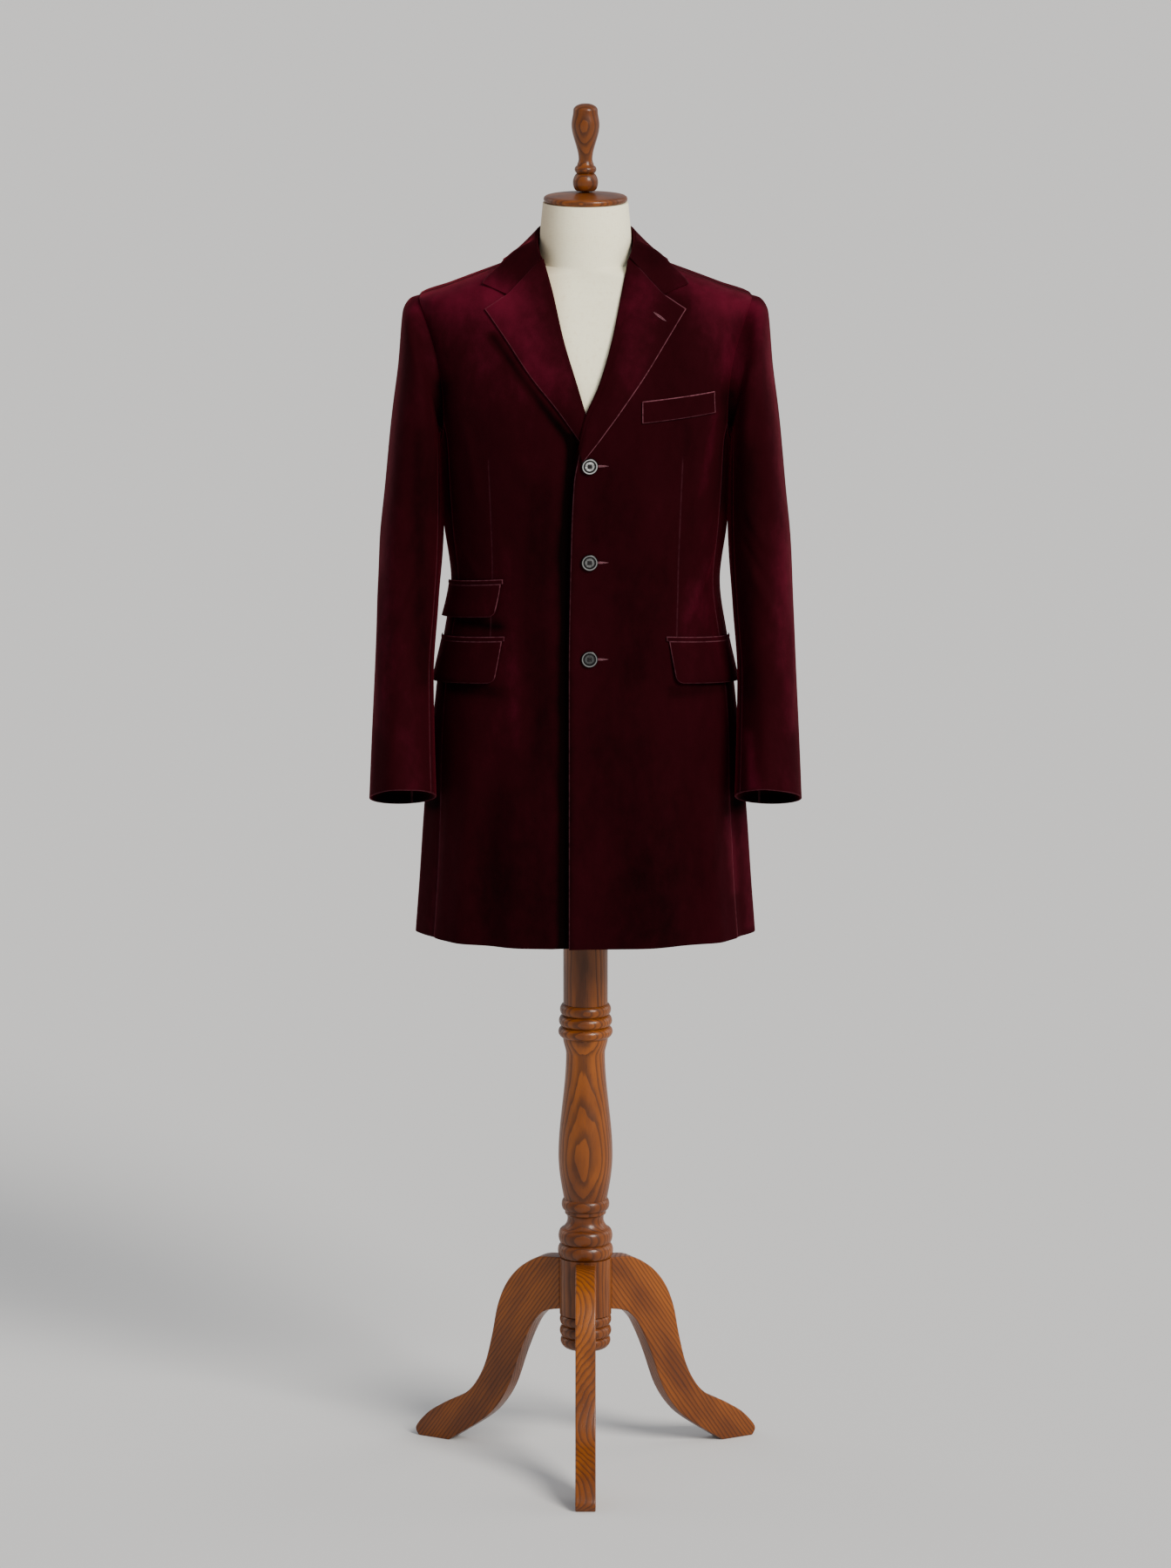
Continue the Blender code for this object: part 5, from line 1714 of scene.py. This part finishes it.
# %% Button and thread finishes
BUTTON_DARK = colour(4, 4, 5)
BUTTON_SMOKE = colour(28, 30, 30)
BUTTON_PAINTED_HIGHLIGHT = colour(214, 216, 214)
RIM_INNER = (0.0083, 0.0087)
RIM_OUTER = (0.0099, 0.0095)
DISC_INNER = (0.0026, 0.0038)
DISC_OUTER = (0.0064, 0.0058)
RIM_LEAST = 0.20
DISC_SPAN = (0.35, 0.62)
DISC_LEAST = 0.4
DISC_GAIN = 1.1
HORN_ROUGH = 0.16
HORN_ROUGH_GAIN = 0.16

horn = Finish("ringed_button", Coat_Weight=0.15, Coat_Roughness=0.06, Specular_IOR_Level=0.25)
ring = horn.attribute("ring", "Fac")
cloudy_horn = horn.noise(horn.place(), scale=420.0, detail=3.0, roughness=0.6)
rim = horn.ramp(ring, *RIM_INNER) * horn.ramp(ring, *RIM_OUTER)
disc = horn.ramp(ring, *DISC_OUTER) * horn.ramp(ring, *DISC_INNER)
brightness = horn.attribute("shine", "Fac")
rim_shine = RIM_LEAST + (1 - RIM_LEAST) * brightness
disc_shine = brightness * (DISC_LEAST + DISC_GAIN * horn.ramp(cloudy_horn, *DISC_SPAN))
horn_body = horn.mixed(disc, BUTTON_DARK, BUTTON_SMOKE)
# Painted highlight: pale on the rim and the disc, strongest on the top button.
horn_body = horn.mixed(rim * rim_shine + disc * disc_shine, horn_body, BUTTON_PAINTED_HIGHLIGHT)
horn.feed("Base Color", horn_body)
horn.feed("Roughness", HORN_ROUGH + HORN_ROUGH_GAIN * cloudy_horn)

TWIST_SPAN = (0.4, 0.6)
SILK_ROUGH = 0.55
SILK_ROUGH_GAIN = 0.2


def silk_finish(name, shaded, lit):
    silk = Finish(name, Sheen_Weight=0.2, Sheen_Roughness=0.4)
    twist = silk.noise(silk.place(), scale=1300.0)
    silk.feed("Base Color", silk.mixed(silk.ramp(twist, *TWIST_SPAN), shaded, lit))
    silk.feed("Roughness", SILK_ROUGH + SILK_ROUGH_GAIN * twist)
    silk.feed_bump(twist, distance=0.0003, strength=0.8)
    return silk


paint(BUTTONS.values(), horn)
hole_silk = silk_finish("hole_silk", colour(70, 24, 36), colour(128, 72, 84))
button_silk = silk_finish("button_silk", colour(14, 8, 9), colour(40, 26, 28))
for thread in THREADS:
    paint([thread], hole_silk if thread.name.startswith("buttonhole") else button_silk)
print("button nodes", len(horn.tree.nodes), "silk nodes", len(hole_silk.tree.nodes))

# %% [markdown]
# ## Handing the pieces to the frame
# Every new piece rides on the frame's one body and stands for its solid.
# Each velvet piece's cut size is also worked out, never smaller than a least width.

# %% Bodies, replaced solids and cut sizes
LEAST_WIDTH = 0.012
for node, cloth in VELVET.items():
    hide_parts(node)
    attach(cloth, "root")
    width, length, area = CUTS[node]
    cut = (max(width, LEAST_WIDTH), max(length, LEAST_WIDTH))
print("sheets", len(VELVET), "of", round(sum(area for _, _, area in CUTS.values()), 4), "square metres")
for slot, pieces in (("wood", WOOD), ("horn", BUTTONS), ("linen", {"form_torso": linen_form})):
    for node, piece in pieces.items():
        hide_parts(node)
        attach(piece, "root")
for thread in THREADS:
    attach(thread, "root")
triangles = {}
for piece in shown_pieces():
    triangles[piece.name] = sum(len(face.vertices) - 2 for face in piece.data.polygons)
print("triangles", sum(triangles.values()), "largest piece", max(triangles.values()))

# %% [markdown]
# ## Floor, light and camera
# A plain pale floor and soft lamps stand in for the studio.
# The key comes from the front right as a wide sun, which lights the floor evenly as far as it reaches.
# Two weaker suns from behind brighten the coat's edges, which is where velvet shows best.
# The camera stands well back and looks slightly down, as in the photograph.

# %% Studio floor
FLOOR_SIZE = 80
clear_selection()
bpy.ops.mesh.primitive_plane_add(size=FLOOR_SIZE)
floor = bpy.context.object
floor.name = "studio_floor"
floor_finish = Finish("studio_floor", Roughness=0.9)
floor_finish.shader.inputs["Base Color"].default_value = colour(214, 214, 214)
floor.data.materials.append(floor_finish.material)
print("floor", FLOOR_SIZE, "m wide")

# %% Lamps and world
Lamp = namedtuple("Lamp", "name place spread strength")
LAMPS = [
    Lamp("key", (3.6, -4.6, 5.2), 24, 4.2),
    Lamp("left edge", (-2.6, 1.4, 2.3), 34, 0.4),
    Lamp("right edge", (2.6, 1.2, 2.3), 34, 0.6),
]
LIT_SPOT = Vector((0.0, 0.0, 1.15))
LAMP_TINT = (1.0, 0.95, 0.88)
WORLD_STRENGTH = 0.55
for lamp in LAMPS:
    clear_selection()
    bpy.ops.object.light_add(type="SUN", location=lamp.place)
    light = bpy.context.object
    light.name = f"lamp {lamp.name}"
    light.data.energy = lamp.strength
    light.data.angle = math.radians(lamp.spread)
    light.data.color = LAMP_TINT
    light.rotation_euler = (LIT_SPOT - Vector(lamp.place)).to_track_quat("-Z", "Y").to_euler()
world = bpy.data.worlds.new("studio")
world.use_nodes = True
world.node_tree.nodes["Background"].inputs["Color"].default_value = colour(228, 232, 238)
world.node_tree.nodes["Background"].inputs["Strength"].default_value = WORLD_STRENGTH
bpy.context.scene.world = world
print("lamps", len(LAMPS))

# %% Camera
CAMERA_BACK = 10.6
CAMERA_HEIGHT = 3.04
CAMERA_PITCH = 11.3
CAMERA_LENS = 188.26
clear_selection()
bpy.ops.object.camera_add(
    location=(0.0, POST_Y - CAMERA_BACK, CAMERA_HEIGHT), rotation=(math.radians(90 - CAMERA_PITCH), 0.0, 0.0)
)
camera = bpy.context.object
camera.data.lens = CAMERA_LENS
camera.data.sensor_width = 36.0
camera.data.clip_end = 200.0
bpy.context.scene.camera = camera
print("camera", CAMERA_BACK, "m back")
